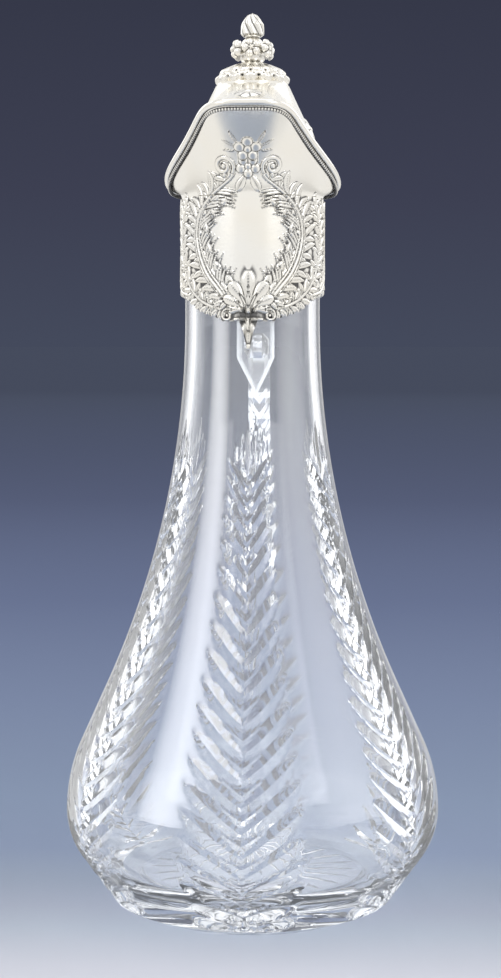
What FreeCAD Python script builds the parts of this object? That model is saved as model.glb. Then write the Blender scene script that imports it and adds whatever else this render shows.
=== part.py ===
"""A glass claret jug with a silver mount: a cut glass body with six feather bands, a silver
collar, a beaked spout, a hinged lid and a finial.

All lengths are in millimetres. +Z is up, the spout points along -Y and the handle along +Y.
The origin is the centre of the foot, on the surface that the jug stands on.
"""

import FreeCAD, Part
import math
import os

from FreeCAD import Vector

# The collar's top, which the mouth, the spout, the lid and the hinge take their heights from
collar_top_height = 293.0

# Glass body, outside
mouth_inset = 2.0
neck_radius = 27.6
neck_straight_length = 46.0
shoulder_length = 26.758
belly_radius = 77.6
belly_height = 41.0
belly_upper_radius = 68.0
belly_lower_radius = 30.0
undercut_turn_degrees = 35.7
foot_edge_radius = 58.6
foot_edge_height = 4.6
foot_radius = 47.5

# Glass body, inside
glass_wall = 4.2

# Star cut in the foot
star_ray_count = 24
star_ray_inner_radius = 4.0
star_ray_outer_radius = 41.0
star_ray_depth = 1.0

# Glass handle
handle_width = 12.0
handle_thickness = 10.5
handle_chamfer = 2.6
handle_top_drop = 58.0
handle_reach = 68.0
handle_top_bend_radius = 17.0
handle_top_turn_degrees = 80.0
handle_side_bend_radius = 140.0
handle_side_turn_degrees = 27.0
handle_foot_bend_radius = 26.0
handle_foot_turn_degrees = 42.0
handle_foot_run = 12.0
handle_pad_width = 18.0
handle_pad_shoulder_drop = 5.0
handle_pad_rise = 14.0
handle_pad_tip_drop = 21.5
handle_pad_thickness = 3.0
notch_count = 6
notch_depth = 1.6
notch_width = 5.0

# Silver collar with its pendant, cement bed and mouth liner
cement_gap = 0.5
collar_wall = 0.8
collar_side_length = 39.0
collar_drop_length = 50.2
collar_drop_half_width = 9.6
collar_back_length = 43.0
collar_scallop_sag = 0.9
collar_scallop_shares = ((0.27, 0.21), (0.6, 0.38), (0.84, 0.73))
collar_pendant_length = 9.3
collar_pendant_half_width = 3.6
collar_pearl_radius = 1.7
cement_inset = 6.0
liner_depth = 14.0
liner_wall = 0.6
liner_clearance = 0.15

# Spout and its rim wire
spout_wall = 1.0
beak_reach = 46.0
beak_half_width = 14.4
beak_rise = 31.7
ear_half_width = 33.6
ear_rise = 5.3
rim_back_reach = 31.6
rim_back_rise = 2.4
flare_power_front = 2.0
flare_power_back = 1.4
rim_wire_radius = 0.75
moulding_outset_share = 0.75
rim_beak_shares = ((0, 1, 1), (0.42, 0.996, 1), (0.77, 0.968, 0.985), (1, 0.905, 0.945))
rim_side_shares = ((0.2, 0.765, 0.8), (0.53, 0.5, 0.48), (0.94, 0.17, 0.1))
rim_back_shares = ((1, 0, 0), (0.95, 0.44, 0.8), (0.66, 0.82, 1), (0.31, 0.98, 1), (0, 1, 1))

# Lid
lid_wall = 0.9
lid_seam_gap = 0.3
lid_border_radius = 1.4
lid_top_radius = 15.0
lid_top_rise = 14.5
lid_shell_radius = 5.2
lid_shell_rise = 1.2
lid_shell_sink = 0.75
lid_shell_height_share = 0.56

# Hinge and thumbpiece
hinge_axis_reach = 35.9
hinge_axis_rise = 5.0
knuckle_radius = 2.5
knuckle_count = 5
knuckle_length = 4.0
knuckle_gap = 0.15
knuckle_swing_gap = 0.35
pin_radius = 1.1
pin_clearance = 0.05
pin_head_radius = 1.9
pin_head_length = 0.8
hinge_plate_thickness = 1.2
hinge_plate_top_drop = 1.5
hinge_plate_height = 11.5
hinge_bracket_height = 5.5
hinge_bar_thickness = 1.3
hinge_strap_thickness = 1.1
hinge_strap_length = 15.0
hinge_strap_width = 10.0
hinge_strap_sink = 0.7
thumbpiece_height = 17.0
thumbpiece_width = 13.0
thumbpiece_foot_width = 6.0
thumbpiece_thickness = 2.0
thumbpiece_widest_share = 0.52

# Finial, from the lid's top upwards
rosette_radius = 15.3
rosette_edge_height = 1.6
rosette_waist_radius = 3.9
rosette_height = 8.6
rosette_sag = 3.2
blossom_core_radius = 5.2
blossom_core_height = 10.2
blossom_radius = 3.4
blossom_reach = 9.2
blossom_count = 6
blossom_height_share = 0.5
bud_foot_radius = 2.6
bud_radius = 5.0
bud_widest_share = 0.42
bud_height = 10.0
bud_tip_radius = 0.9
stud_radius = 1.6
stud_clearance = 0.1
stud_bud_depth = 4.0
washer_radius = 5.0
washer_thickness = 0.8
nut_radius = 3.6
nut_height = 2.6
stud_tail = 0.9

# Overlong cutters reach this far past what they cut
overrun = 5.0

# Sampling of the curved silver surfaces
grid_columns = 25
spout_rows = 7
moulding_rows = 13
lid_rows = 4

up = Vector(0, 0, 1)
across = Vector(1, 0, 0)
backwards = Vector(0, 1, 0)
origin = Vector(0, 0, 0)


def save(shape, name):
    """Writes one sub-part to its STEP file."""
    os.makedirs("parts", exist_ok=True)
    shape.exportStep("parts/" + name + ".step")
    print(name, len(shape.Solids), "solid", "valid" if shape.isValid() else "NOT VALID")


def at(radius, height):
    """A point of a turned outline, in the XZ plane."""
    return Vector(radius, 0, height)


def on_arc(centre, radius, degrees):
    """The point at an angle on an arc of a turned outline."""
    angle = math.radians(degrees)
    return centre + at(radius * math.cos(angle), radius * math.sin(angle))


def arc_between(centre, radius, first_degrees, last_degrees):
    """An arc edge of a turned outline, from one angle to another."""
    middle_degrees = (first_degrees + last_degrees) / 2
    return Part.Arc(
        on_arc(centre, radius, first_degrees),
        on_arc(centre, radius, middle_degrees),
        on_arc(centre, radius, last_degrees),
    ).toShape()


def line(first, last):
    """A straight edge."""
    return Part.LineSegment(first, last).toShape()


def polyline(points):
    """Straight edges through points, closed back to the first."""
    return [line(a, b) for a, b in zip(points, points[1:] + points[:1])]


def turned(edges):
    """The solid that a closed outline in the XZ plane sweeps round the Z axis."""
    return Part.Face(Part.Wire(edges)).revolve(origin, up, 360)


def cylinder(radius, bottom, top):
    """An upright cylinder about the jug's axis."""
    return Part.makeCylinder(radius, top - bottom, at(0, bottom))


def tube(outer, inner, bottom, top):
    """An upright ring about the jug's axis."""
    return cylinder(outer, bottom, top).cut(cylinder(inner, bottom, top))


def mix(first, last, share):
    """The value that lies a share of the way from the first to the last."""
    return first + (last - first) * share


# Heights that follow the collar's top
mouth_height = collar_top_height - mouth_inset
neck_curve_start_height = mouth_height - neck_straight_length
handle_top_height = mouth_height - handle_top_drop
handle_pad_shoulder_height = handle_top_height - handle_pad_shoulder_drop
handle_pad_top_height = handle_top_height + handle_pad_rise
handle_pad_tip_height = handle_top_height - handle_pad_tip_drop
collar_side_height = collar_top_height - collar_side_length
collar_drop_height = collar_top_height - collar_drop_length
collar_back_height = collar_top_height - collar_back_length
collar_pendant_height = collar_drop_height - collar_pendant_length
beak_height = collar_top_height + beak_rise
ear_height = collar_top_height + ear_rise
rim_back_height = collar_top_height + rim_back_rise
lid_top_height = beak_height + lid_top_rise
hinge_axis_height = collar_top_height + hinge_axis_rise
hinge_plate_top_height = collar_top_height - hinge_plate_top_drop
hinge_plate_foot_height = hinge_plate_top_height - hinge_plate_height
hinge_bracket_foot_height = hinge_plate_top_height - hinge_bracket_height

# The turned outline of the glass is three arcs with a straight shoulder between the first two.
# The neck's curve is as round as it must be to leave the shoulder its length.
neck_inset = neck_radius - (belly_radius - belly_upper_radius)
neck_fall = neck_curve_start_height - belly_height
neck_curve_radius = (
    neck_inset**2 + neck_fall**2 - belly_upper_radius**2 - shoulder_length**2
) / (2 * (belly_upper_radius - neck_inset))
neck_curve_centre = at(neck_radius + neck_curve_radius, neck_curve_start_height)
upper_belly_centre = at(belly_radius - belly_upper_radius, belly_height)
lower_belly_centre = at(belly_radius - belly_lower_radius, belly_height)
shoulder_run = upper_belly_centre - neck_curve_centre
shoulder_degrees = math.degrees(
    math.atan2(shoulder_run.z, shoulder_run.x)
    - math.acos((neck_curve_radius + belly_upper_radius) / shoulder_run.Length)
)
shoulder_top = on_arc(neck_curve_centre, neck_curve_radius, shoulder_degrees)
shoulder_end = on_arc(upper_belly_centre, belly_upper_radius, shoulder_degrees + 180)
undercut_start = on_arc(lower_belly_centre, belly_lower_radius, -undercut_turn_degrees)
neck_bore_radius = neck_radius - glass_wall
floor_height = belly_height - belly_lower_radius + glass_wall
collar_inner_radius = neck_radius + cement_gap
collar_radius = collar_inner_radius + collar_wall


def glass_wall_edges(inset, last_degrees):
    """The outline from the neck's end down through the belly, set in from the outside."""
    return [
        arc_between(
            neck_curve_centre, neck_curve_radius + inset, -180, shoulder_degrees
        ),
        line(
            on_arc(neck_curve_centre, neck_curve_radius + inset, shoulder_degrees),
            on_arc(upper_belly_centre, belly_upper_radius - inset, shoulder_degrees + 180),
        ),
        arc_between(
            upper_belly_centre, belly_upper_radius - inset, shoulder_degrees + 180, 0
        ),
        arc_between(lower_belly_centre, belly_lower_radius - inset, 0, last_degrees),
    ]


def glass_outside_edges():
    """The outside outline from the mouth to the centre of the foot."""
    return [
        line(at(neck_radius, mouth_height), at(neck_radius, neck_curve_start_height)),
        *glass_wall_edges(0, -undercut_turn_degrees),
        line(undercut_start, at(foot_edge_radius, foot_edge_height)),
        line(at(foot_edge_radius, foot_edge_height), at(foot_radius, 0)),
        line(at(foot_radius, 0), origin),
    ]


def glass_envelope():
    """The glass body's outside as one full solid, which trims what is laid on it."""
    closing = [line(origin, at(0, mouth_height)), line(at(0, mouth_height), at(neck_radius, mouth_height))]
    return turned(glass_outside_edges() + closing)


def sewn(faces):
    """The solid that faces enclose once they are sewn along their edges."""
    skin = Part.makeCompound(faces)
    skin.sewShape()
    solid = Part.Solid(Part.Shell(skin.Faces))
    if solid.Volume < 0:
        solid.reverse()
    return solid


def grooved_ray(inner, outer, depth):
    """A pointed four-sided cutter for one ray of a star in the face at height 0."""
    middle = mix(inner, outer, 1 / 2)
    corners = [at(inner, 0), Vector(middle, 2 * depth, 0), at(outer, 0), Vector(middle, -2 * depth, 0)]
    tips = [at(middle, depth), at(middle, -depth)]
    faces = [
        Part.Face(Part.Wire(polyline([a, b, tip])))
        for tip in tips
        for a, b in zip(corners, corners[1:] + corners[:1])
    ]
    return sewn(faces)


def spread(shape, count):
    """Copies of a shape, evenly spaced round the Z axis."""
    copies = []
    for index in range(count):
        copy = shape.copy()
        copy.rotate(origin, up, 360 / count * index)
        copies.append(copy)
    return copies


def glass_body():
    """The hollow body with its thick floor and a star cut in the underside."""
    inside = [
        line(at(neck_radius, mouth_height), at(neck_bore_radius, mouth_height)),
        line(at(neck_bore_radius, mouth_height), at(neck_bore_radius, neck_curve_start_height)),
        *glass_wall_edges(glass_wall, -90),
        line(at(lower_belly_centre.x, floor_height), at(0, floor_height)),
        line(at(0, floor_height), origin),
    ]
    ray = grooved_ray(star_ray_inner_radius, star_ray_outer_radius, star_ray_depth)
    return turned(glass_outside_edges() + inside).cut(spread(ray, star_ray_count))


def side(reach, height):
    """A point in the YZ plane through the jug's axis."""
    return Vector(0, reach, height)


def heading(degrees):
    """The direction in the YZ plane that points this far down from straight back."""
    angle = math.radians(degrees)
    return side(math.cos(angle), -math.sin(angle))


def bend(start, start_degrees, radius, turn_degrees):
    """An arc that turns downwards from a point and heading: its edge, end and centre."""
    centre = start + heading(start_degrees + 90) * radius
    ends = [centre - heading(start_degrees + 90 + turn) * radius for turn in (turn_degrees / 2, turn_degrees)]
    return Part.Arc(start, *ends).toShape(), ends[-1], centre


def chamfered_bar(width, thickness, chamfer, middle):
    """An eight-sided outline in the XZ plane about a middle point."""
    x, z = width / 2, thickness / 2
    corners = [
        (x - chamfer, z), (x, z - chamfer), (x, chamfer - z), (x - chamfer, -z),
        (chamfer - x, -z), (-x, chamfer - z), (-x, z - chamfer), (chamfer - x, z),
    ]
    return Part.Wire(polyline([middle + Vector(a, 0, b) for a, b in corners]))


def neck_jacket(thickness):
    """The full solid under a layer of this thickness laid on the neck."""
    curve_radius = neck_curve_radius - thickness
    top = at(neck_radius + thickness, collar_side_height)
    start = at(neck_radius + thickness, neck_curve_start_height)
    end = on_arc(neck_curve_centre, curve_radius, shoulder_degrees)
    return turned(
        [
            line(top, start),
            arc_between(neck_curve_centre, curve_radius, -180, shoulder_degrees),
            line(end, at(0, end.z)),
            line(at(0, end.z), at(0, collar_side_height)),
            line(at(0, collar_side_height), top),
        ]
    )


def glass_handle():
    """The faceted handle, bent from a bar, with its shield shaped pad on the neck."""
    start = side(neck_bore_radius, handle_top_height)
    top_bend_run = handle_top_bend_radius * math.sin(math.radians(handle_top_turn_degrees))
    side_bend_run = handle_side_bend_radius * (1 - math.sin(math.radians(handle_top_turn_degrees)))
    corner = side(handle_reach - top_bend_run - side_bend_run, handle_top_height)
    turn = handle_top_turn_degrees
    top_bend, middle, _ = bend(corner, 0, handle_top_bend_radius, turn)
    side_bend, low, side_centre = bend(
        middle, turn, handle_side_bend_radius, handle_side_turn_degrees
    )
    turn += handle_side_turn_degrees
    foot_bend, foot, _ = bend(low, turn, handle_foot_bend_radius, handle_foot_turn_degrees)
    turn += handle_foot_turn_degrees
    last = line(foot, foot + heading(turn) * handle_foot_run)
    path = Part.Wire([line(start, corner), top_bend, side_bend, foot_bend, last])
    outline = chamfered_bar(handle_width, handle_thickness, handle_chamfer, start)
    bar = path.makePipeShell([outline], True, False)
    shield = [
        at(handle_pad_width / 2, handle_pad_top_height),
        at(handle_pad_width / 2, handle_pad_shoulder_height),
        at(0, handle_pad_tip_height),
        at(-handle_pad_width / 2, handle_pad_shoulder_height),
        at(-handle_pad_width / 2, handle_pad_top_height),
    ]
    pad = Part.Face(Part.Wire(polyline(shield))).extrude(backwards * handle_reach)
    pad = pad.common(neck_jacket(handle_pad_thickness))
    notches = []
    outer_radius = handle_side_bend_radius + handle_thickness / 2
    first_degrees = 90 + handle_top_turn_degrees
    for index in range(notch_count):
        share = (index + 1) / (notch_count + 1)
        angle = first_degrees + handle_side_turn_degrees * share
        outwards = -heading(angle)
        along = heading(angle - 90)
        mark = side_centre + outwards * outer_radius - across * handle_width
        corners = [
            mark + outwards * notch_depth + along * notch_width,
            mark - outwards * notch_depth,
            mark + outwards * notch_depth - along * notch_width,
        ]
        notches.append(Part.Face(Part.Wire(polyline(corners))).extrude(across * handle_width * 2))
    return bar.cut(notches).fuse(pad).cut(glass_envelope()).removeSplitter()


def cement_bed():
    """The thin ring of plaster that holds the collar on the neck."""
    return tube(collar_inner_radius, neck_radius, collar_side_height + cement_inset, mouth_height)


def mouth_liner():
    """The ring that covers the glass lip and reaches down inside the neck."""
    outer = neck_bore_radius - liner_clearance
    top = mouth_height + liner_wall
    return turned(
        polyline(
            [
                at(outer - liner_wall, top),
                at(collar_inner_radius, top),
                at(collar_inner_radius, mouth_height),
                at(outer, mouth_height),
                at(outer, mouth_height - liner_depth),
                at(outer - liner_wall, mouth_height - liner_depth),
            ]
        )
    )


def scalloped(points):
    """Arcs that hang between points of a lower edge, given from left to right."""
    edges = []
    for first, last in zip(points, points[1:]):
        middle = (first + last) / 2 - up * collar_scallop_sag
        edges.append(Part.Arc(first, middle, last).toShape())
    return edges


def neck_collar():
    """The chased sleeve round the neck, with a drop at the front that ends in a pearl."""
    reach = collar_radius + overrun
    fall = collar_side_height - collar_drop_height
    steps = [at(collar_drop_half_width, collar_drop_height)]
    for out_share, rise_share in collar_scallop_shares:
        out = mix(collar_drop_half_width, collar_radius, out_share)
        steps.append(at(out, collar_drop_height + fall * rise_share))
    steps.append(at(collar_radius, collar_side_height))
    mirrored = [at(-point.x, point.z) for point in reversed(steps)]
    top_left = at(-reach, collar_top_height)
    top_right = at(reach, collar_top_height)
    front = Part.Face(
        Part.Wire(
            [
                line(top_left, at(-reach, collar_side_height)),
                line(at(-reach, collar_side_height), mirrored[0]),
                *scalloped(mirrored + steps),
                line(steps[-1], at(reach, collar_side_height)),
                line(at(reach, collar_side_height), top_right),
                line(top_right, top_left),
            ]
        )
    ).extrude(-backwards * reach)
    count = 2 * len(collar_scallop_shares)
    hem = []
    for index in range(count + 1):
        out_share = 2 * index / count - 1
        height = mix(collar_side_height, collar_back_height, 1 - abs(out_share))
        hem.append(at(collar_radius * out_share, height))
    back = Part.Face(
        Part.Wire(
            [
                line(top_left, at(-reach, collar_side_height)),
                line(at(-reach, collar_side_height), hem[0]),
                *scalloped(hem),
                line(hem[-1], at(reach, collar_side_height)),
                line(at(reach, collar_side_height), top_right),
                line(top_right, top_left),
            ]
        )
    ).extrude(backwards * reach)
    pearl_height = collar_pendant_height - collar_pearl_radius / 2
    pendant = Part.Face(
        Part.Wire(
            polyline(
                [
                    at(-collar_pendant_half_width, collar_drop_height + collar_pearl_radius),
                    at(-collar_pearl_radius / 2, pearl_height),
                    at(collar_pearl_radius / 2, pearl_height),
                    at(collar_pendant_half_width, collar_drop_height + collar_pearl_radius),
                ]
            )
        )
    ).extrude(-backwards * reach)
    pearl = Part.makeCylinder(
        collar_pearl_radius, reach, at(0, pearl_height), -backwards
    )
    pattern = front.fuse([back, pendant, pearl])
    bottom = pearl_height - 2 * collar_pearl_radius
    sleeve = tube(collar_radius, collar_inner_radius, bottom, collar_top_height)
    return sleeve.common(pattern).removeSplitter()


def rim_points():
    """Half the spout's rim, from the middle of the beak round to the middle of the back."""
    places = [
        (beak_half_width * out, -beak_reach * reach, mix(ear_height, beak_height, rise))
        for out, reach, rise in rim_beak_shares
    ]
    places += [
        (mix(beak_half_width, ear_half_width, out), -beak_reach * reach, mix(ear_height, beak_height, rise))
        for out, reach, rise in rim_side_shares
    ]
    places += [
        (ear_half_width * out, rim_back_reach * reach, mix(ear_height, rim_back_height, drop))
        for out, reach, drop in rim_back_shares
    ]
    return [Vector(*place) for place in places]


def closed_curve(half):
    """A smooth closed curve through half a contour and its mirror image."""
    rest = [Vector(-point.x, point.y, point.z) for point in reversed(half[1:-1])]
    curve = Part.BSplineCurve()
    curve.interpolate(Points=half + rest, PeriodicFlag=True)
    return curve


def rim_frames():
    """Stations along half the rim: point, level outward direction and lift off the rim."""
    curve = closed_curve(rim_points())
    first, last = curve.FirstParameter, curve.LastParameter
    frames = []
    for index in range(grid_columns):
        value = mix(first, last, index / (grid_columns - 1) / 2)
        point = curve.value(value)
        along = curve.tangent(value)[0]
        if index in (0, grid_columns - 1):
            point = Vector(0, point.y, point.z)
            along = Vector(1 if index == 0 else -1, 0, 0)
        outward = along.cross(up).normalize()
        lift = (up - along * up.dot(along)).normalize()
        frames.append((point, outward, lift))
    return frames


def around(point, radius, height):
    """The point at a radius and height in the direction of another from the axis."""
    flat = Vector(point.x, point.y, 0).normalize()
    return flat * radius + up * height


def shell_normals(grid):
    """Outward directions at the points of a grid of rows on half a surface."""
    normals = []
    for j, row in enumerate(grid):
        below = grid[max(j - 1, 0)]
        above = grid[min(j + 1, len(grid) - 1)]
        line_of_normals = []
        for i in range(len(row)):
            before = row[max(i - 1, 0)]
            after = row[min(i + 1, len(row) - 1)]
            normal = (after - before).cross(above[i] - below[i]).normalize()
            if i in (0, len(row) - 1):
                normal = Vector(0, normal.y, normal.z).normalize()
            line_of_normals.append(normal)
        normals.append(line_of_normals)
    return normals


def surface_face(grid):
    """A smooth face through a grid of points."""
    surface = Part.BSplineSurface()
    surface.interpolate(grid)
    return surface, surface.toShape()


def mirrored_shell(outside, inside):
    """The solid between two half surfaces and their mirror images."""
    outer, outer_face = surface_face(outside)
    inner, inner_face = surface_face(inside)
    faces = [outer_face, inner_face]
    for place in (0, 1):
        ends = [
            surface.uIso(surface.bounds()[place]).toShape() for surface in (outer, inner)
        ]
        faces.append(Part.makeRuledSurface(*ends, 1))
    faces += [face.mirror(origin, across) for face in faces]
    return sewn(faces)


def spout():
    """The flared spout: round on the collar, drawn out to a beak at its rim."""
    frames = rim_frames()
    outside = []
    for j in range(spout_rows):
        share = j / (spout_rows - 1)
        row = []
        for point, _, _ in frames:
            foot = around(point, collar_radius, collar_top_height)
            towards_beak = (1 - point.y / Vector(point.x, point.y, 0).Length) / 2
            power = mix(flare_power_back, flare_power_front, towards_beak)
            flat = mix(foot, point, share**power)
            row.append(Vector(flat.x, flat.y, mix(foot.z, point.z, share)))
        outside.append(row)
    normals = shell_normals(outside)
    inside = [[p - n * spout_wall for p, n in zip(*pair)] for pair in zip(outside, normals)]
    inside[0] = [around(p, collar_radius - spout_wall, collar_top_height) for p in outside[0]]
    inside[-1] = [p - outward * spout_wall for p, outward, _ in frames]
    return mirrored_shell(outside, inside)


def moulding(radius, lift_distance):
    """A round wire just outside the rim, raised or lowered square to it."""
    grid = []
    for index in range(moulding_rows):
        angle = math.radians(180 + 360 * index / (moulding_rows - 1))
        out = radius * (moulding_outset_share + math.cos(angle))
        rise = lift_distance + radius * math.sin(angle)
        grid.append([p + outward * out + lift * rise for p, outward, lift in rim_frames()])
    face = surface_face(grid)[1]
    return sewn([face, face.mirror(origin, across)])


def lid_edge():
    """The lid's lower edge, half of it: a seam's width above the rim."""
    return [(p + lift * lid_seam_gap, outward) for p, outward, lift in rim_frames()]


def lid():
    """The lid's steep shell and the round plate on top, with a hole for the stud."""
    edge = lid_edge()
    plate_foot = lid_top_height - lid_wall
    outside = []
    for j in range(lid_rows):
        share = j / (lid_rows - 1)
        outside.append([mix(p, around(p, lid_top_radius, plate_foot), share) for p, _ in edge])
    normals = shell_normals(outside)
    inside = [[p - n * lid_wall for p, n in zip(*pair)] for pair in zip(outside, normals)]
    inside[0] = [p - outward * lid_wall for p, outward in edge]
    inside[-1] = [around(p, lid_top_radius - lid_wall, plate_foot) for p in outside[-1]]
    plate_radius = lid_top_radius - lid_wall / 2
    plate = tube(plate_radius, stud_radius + stud_clearance, plate_foot, lid_top_height)
    return mirrored_shell(outside, inside).fuse(plate)


def swing_room():
    """The round space about the hinge axis that the lid's sheet keeps out of."""
    reach = hinge_width / 2 + overrun
    return cross_bar(knuckle_radius + knuckle_swing_gap, -reach, reach)


def cross_bar(radius, left, right):
    """A round bar on the hinge axis between two places across the jug."""
    place = Vector(left, hinge_axis_reach, hinge_axis_height)
    return Part.makeCylinder(radius, right - left, place, across)


hinge_width = knuckle_count * knuckle_length + (knuckle_count - 1) * knuckle_gap


def knuckle_ends(index):
    """Where a knuckle starts and ends across the jug."""
    left = index * (knuckle_length + knuckle_gap) - hinge_width / 2
    return left, left + knuckle_length


def slab(outline, left, right):
    """An outline of side points, drawn out from one place across the jug to another."""
    moved = [point + across * left for point in outline]
    return Part.Face(Part.Wire(polyline(moved))).extrude(across * (right - left))


def pin_bore():
    """The hole through every knuckle."""
    return cross_bar(pin_radius + pin_clearance, -hinge_width, hinge_width)


def hinge_base(spout_shape, wire_shape):
    """The plate on the back of the collar with the fixed knuckles."""
    height = hinge_plate_top_height - hinge_plate_foot_height
    window = Part.makeBox(
        hinge_width, 2 * collar_radius, height, Vector(-hinge_width / 2, 0, hinge_plate_foot_height)
    )
    plate_radius = collar_radius + hinge_plate_thickness
    sheet = tube(plate_radius, collar_radius, hinge_plate_foot_height, hinge_plate_top_height)
    parts = [sheet.common(window)]
    back = math.sqrt(collar_radius**2 - hinge_width**2 / 4)
    bracket = [
        side(back, hinge_bracket_foot_height),
        side(back, hinge_plate_top_height),
        side(hinge_axis_reach - knuckle_radius / 2, hinge_axis_height - knuckle_radius / 2),
        side(hinge_axis_reach + knuckle_radius / 2, hinge_axis_height - knuckle_radius / 2),
    ]
    for index in range(0, knuckle_count, 2):
        parts.append(cross_bar(knuckle_radius, *knuckle_ends(index)))
        parts.append(slab(bracket, *knuckle_ends(index)))
    base = parts[0].fuse(parts[1:])
    collar_core = cylinder(collar_radius, hinge_plate_foot_height, collar_top_height)
    return base.cut([pin_bore(), collar_core, spout_shape, wire_shape]).removeSplitter()


def hinge_pin():
    """The pin through the knuckles, with a head at each end."""
    pin = cross_bar(pin_radius, -hinge_width / 2, hinge_width / 2)
    left = cross_bar(pin_head_radius, -hinge_width / 2 - pin_head_length, -hinge_width / 2)
    right = cross_bar(pin_head_radius, hinge_width / 2, hinge_width / 2 + pin_head_length)
    return pin.fuse([left, right]).removeSplitter()


def lid_back_line():
    """The foot of the lid's back in the side view, the way up it and the way off it."""
    foot = lid_edge()[-1][0]
    top = side(lid_top_radius, lid_top_height - lid_wall)
    climb = (top - foot).normalize()
    return foot, climb, side(climb.z, -climb.y)


def bar_foot_height():
    """The height of the underside of the bar that joins the lid's knuckles."""
    return hinge_axis_height + knuckle_radius + knuckle_swing_gap


def hinge_leaf(lid_shape, border_shape):
    """The lid's knuckles with the bar that joins them and the strap up the lid's back."""
    foot, climb, off = lid_back_line()
    strap_start = foot + climb * (2 * lid_border_radius)
    strap_end = strap_start + climb * hinge_strap_length
    strap = slab(
        [
            strap_start - off * hinge_strap_sink,
            strap_start + off * hinge_strap_thickness,
            strap_end + off * hinge_strap_thickness,
            strap_end - off * hinge_strap_sink,
        ],
        -hinge_strap_width / 2,
        hinge_strap_width / 2,
    )
    bar_foot = bar_foot_height()
    bar_top = bar_foot + hinge_bar_thickness
    left = knuckle_ends(1)[0]
    right = knuckle_ends(knuckle_count - 2)[1]
    front = strap_start.y - hinge_strap_sink
    back = hinge_axis_reach + knuckle_radius / 2
    corners = [(front, bar_foot), (back, bar_foot), (back, bar_top), (front, bar_top)]
    parts = [slab([side(*corner) for corner in corners], left, right)]
    web = [
        side(back, hinge_axis_height),
        side(back, bar_top),
        side(front, bar_top),
        side(front, hinge_axis_height + knuckle_radius / 2),
        side(hinge_axis_reach, hinge_axis_height + knuckle_radius / 2),
    ]
    for index in range(1, knuckle_count, 2):
        parts.append(cross_bar(knuckle_radius, *knuckle_ends(index)))
        parts.append(slab(web, *knuckle_ends(index)))
    leaf = strap.fuse(parts)
    return leaf.cut([pin_bore(), lid_shape, border_shape]).removeSplitter()


def thumbpiece():
    """The leaf shaped thumbpiece that stands on the bar of the lid's hinge."""
    foot = bar_foot_height() + hinge_bar_thickness
    widest = mix(foot, foot + thumbpiece_height, thumbpiece_widest_share)
    edge = Part.Arc(
        at(thumbpiece_foot_width / 2, foot),
        at(thumbpiece_width / 2, widest),
        at(0, foot + thumbpiece_height),
    ).toShape()
    base = line(at(-thumbpiece_foot_width / 2, foot), at(thumbpiece_foot_width / 2, foot))
    outline = Part.Wire([base, edge, edge.mirror(origin, across)])
    plate = Part.Face(outline).extrude(backwards * thumbpiece_thickness)
    plate.translate(backwards * (hinge_axis_reach - thumbpiece_thickness / 2))
    return plate


def lid_shell(quarter, lid_shape):
    """One of the low shells on the lid: 0 at the front, then a quarter turn on each."""
    columns = lid_edge()
    last = len(columns) - 1
    turn = math.radians(90 * quarter)
    wanted = Vector(math.sin(turn), -math.cos(turn), 0)
    mirrored = [(Vector(-p.x, p.y, p.z), Vector(-o.x, o.y, 0)) for p, o in columns]
    nearest = max(columns + mirrored, key=lambda c: wanted.dot(Vector(c[0].x, c[0].y, 0).normalize()))
    edge = nearest[0] if 0 < quarter else columns[0][0]
    edge = columns[last][0] if quarter == 2 else edge
    top = around(edge, lid_top_radius, lid_top_height - lid_wall)
    middle = mix(edge, top, lid_shell_height_share)
    climb = (top - edge).normalize()
    level = up.cross(nearest[1]).normalize()
    off = level.cross(climb).normalize()
    off = off if off.dot(wanted) > 0 else -off
    radius = (lid_shell_radius**2 + lid_shell_rise**2) / (2 * lid_shell_rise)
    centre = middle + off * (lid_shell_rise - radius)
    ball = Part.makeSphere(radius, centre)
    reach = 2 * lid_shell_radius
    keep = Part.makeCylinder(reach, reach, middle - off * lid_shell_sink, off)
    pieces = ball.common(keep).cut(lid_shape).Solids
    return max(pieces, key=lambda piece: piece.Volume)


def finial_rosette():
    """The flared leaf skirt under the finial, wide at the lid and narrow at its waist."""
    foot = lid_top_height
    edge = at(rosette_radius, foot + rosette_edge_height)
    waist = at(rosette_waist_radius, foot + rosette_height)
    middle = (edge + waist) / 2 - at(rosette_sag, rosette_sag) / 2
    hole = stud_radius + stud_clearance
    return turned(
        [
            line(at(hole, foot), at(lid_top_radius, foot)),
            line(at(lid_top_radius, foot), edge),
            Part.Arc(edge, middle, waist).toShape(),
            line(waist, at(hole, waist.z)),
            line(at(hole, waist.z), at(hole, foot)),
        ]
    )


def blossom_foot():
    """The height at which the ring of blossoms starts."""
    return lid_top_height + rosette_height


def bud_foot():
    """The height at which the bud starts."""
    return blossom_foot() + blossom_core_height


def finial_blossoms():
    """A ring of round blossoms about a core, over the rosette."""
    foot = blossom_foot()
    top = bud_foot()
    waist = at(rosette_waist_radius, foot)
    neck = at(bud_foot_radius, top)
    middle = at(blossom_core_radius, mix(foot, top, blossom_height_share))
    hole = stud_radius + stud_clearance
    core = turned(
        [
            line(at(hole, foot), waist),
            Part.Arc(waist, middle, neck).toShape(),
            line(neck, at(hole, top)),
            line(at(hole, top), at(hole, foot)),
        ]
    )
    place = at(blossom_reach - blossom_radius, middle.z)
    blossom = Part.makeSphere(blossom_radius, place)
    bore = cylinder(hole, foot, top)
    return core.fuse(spread(blossom, blossom_count)).cut(bore)


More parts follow.
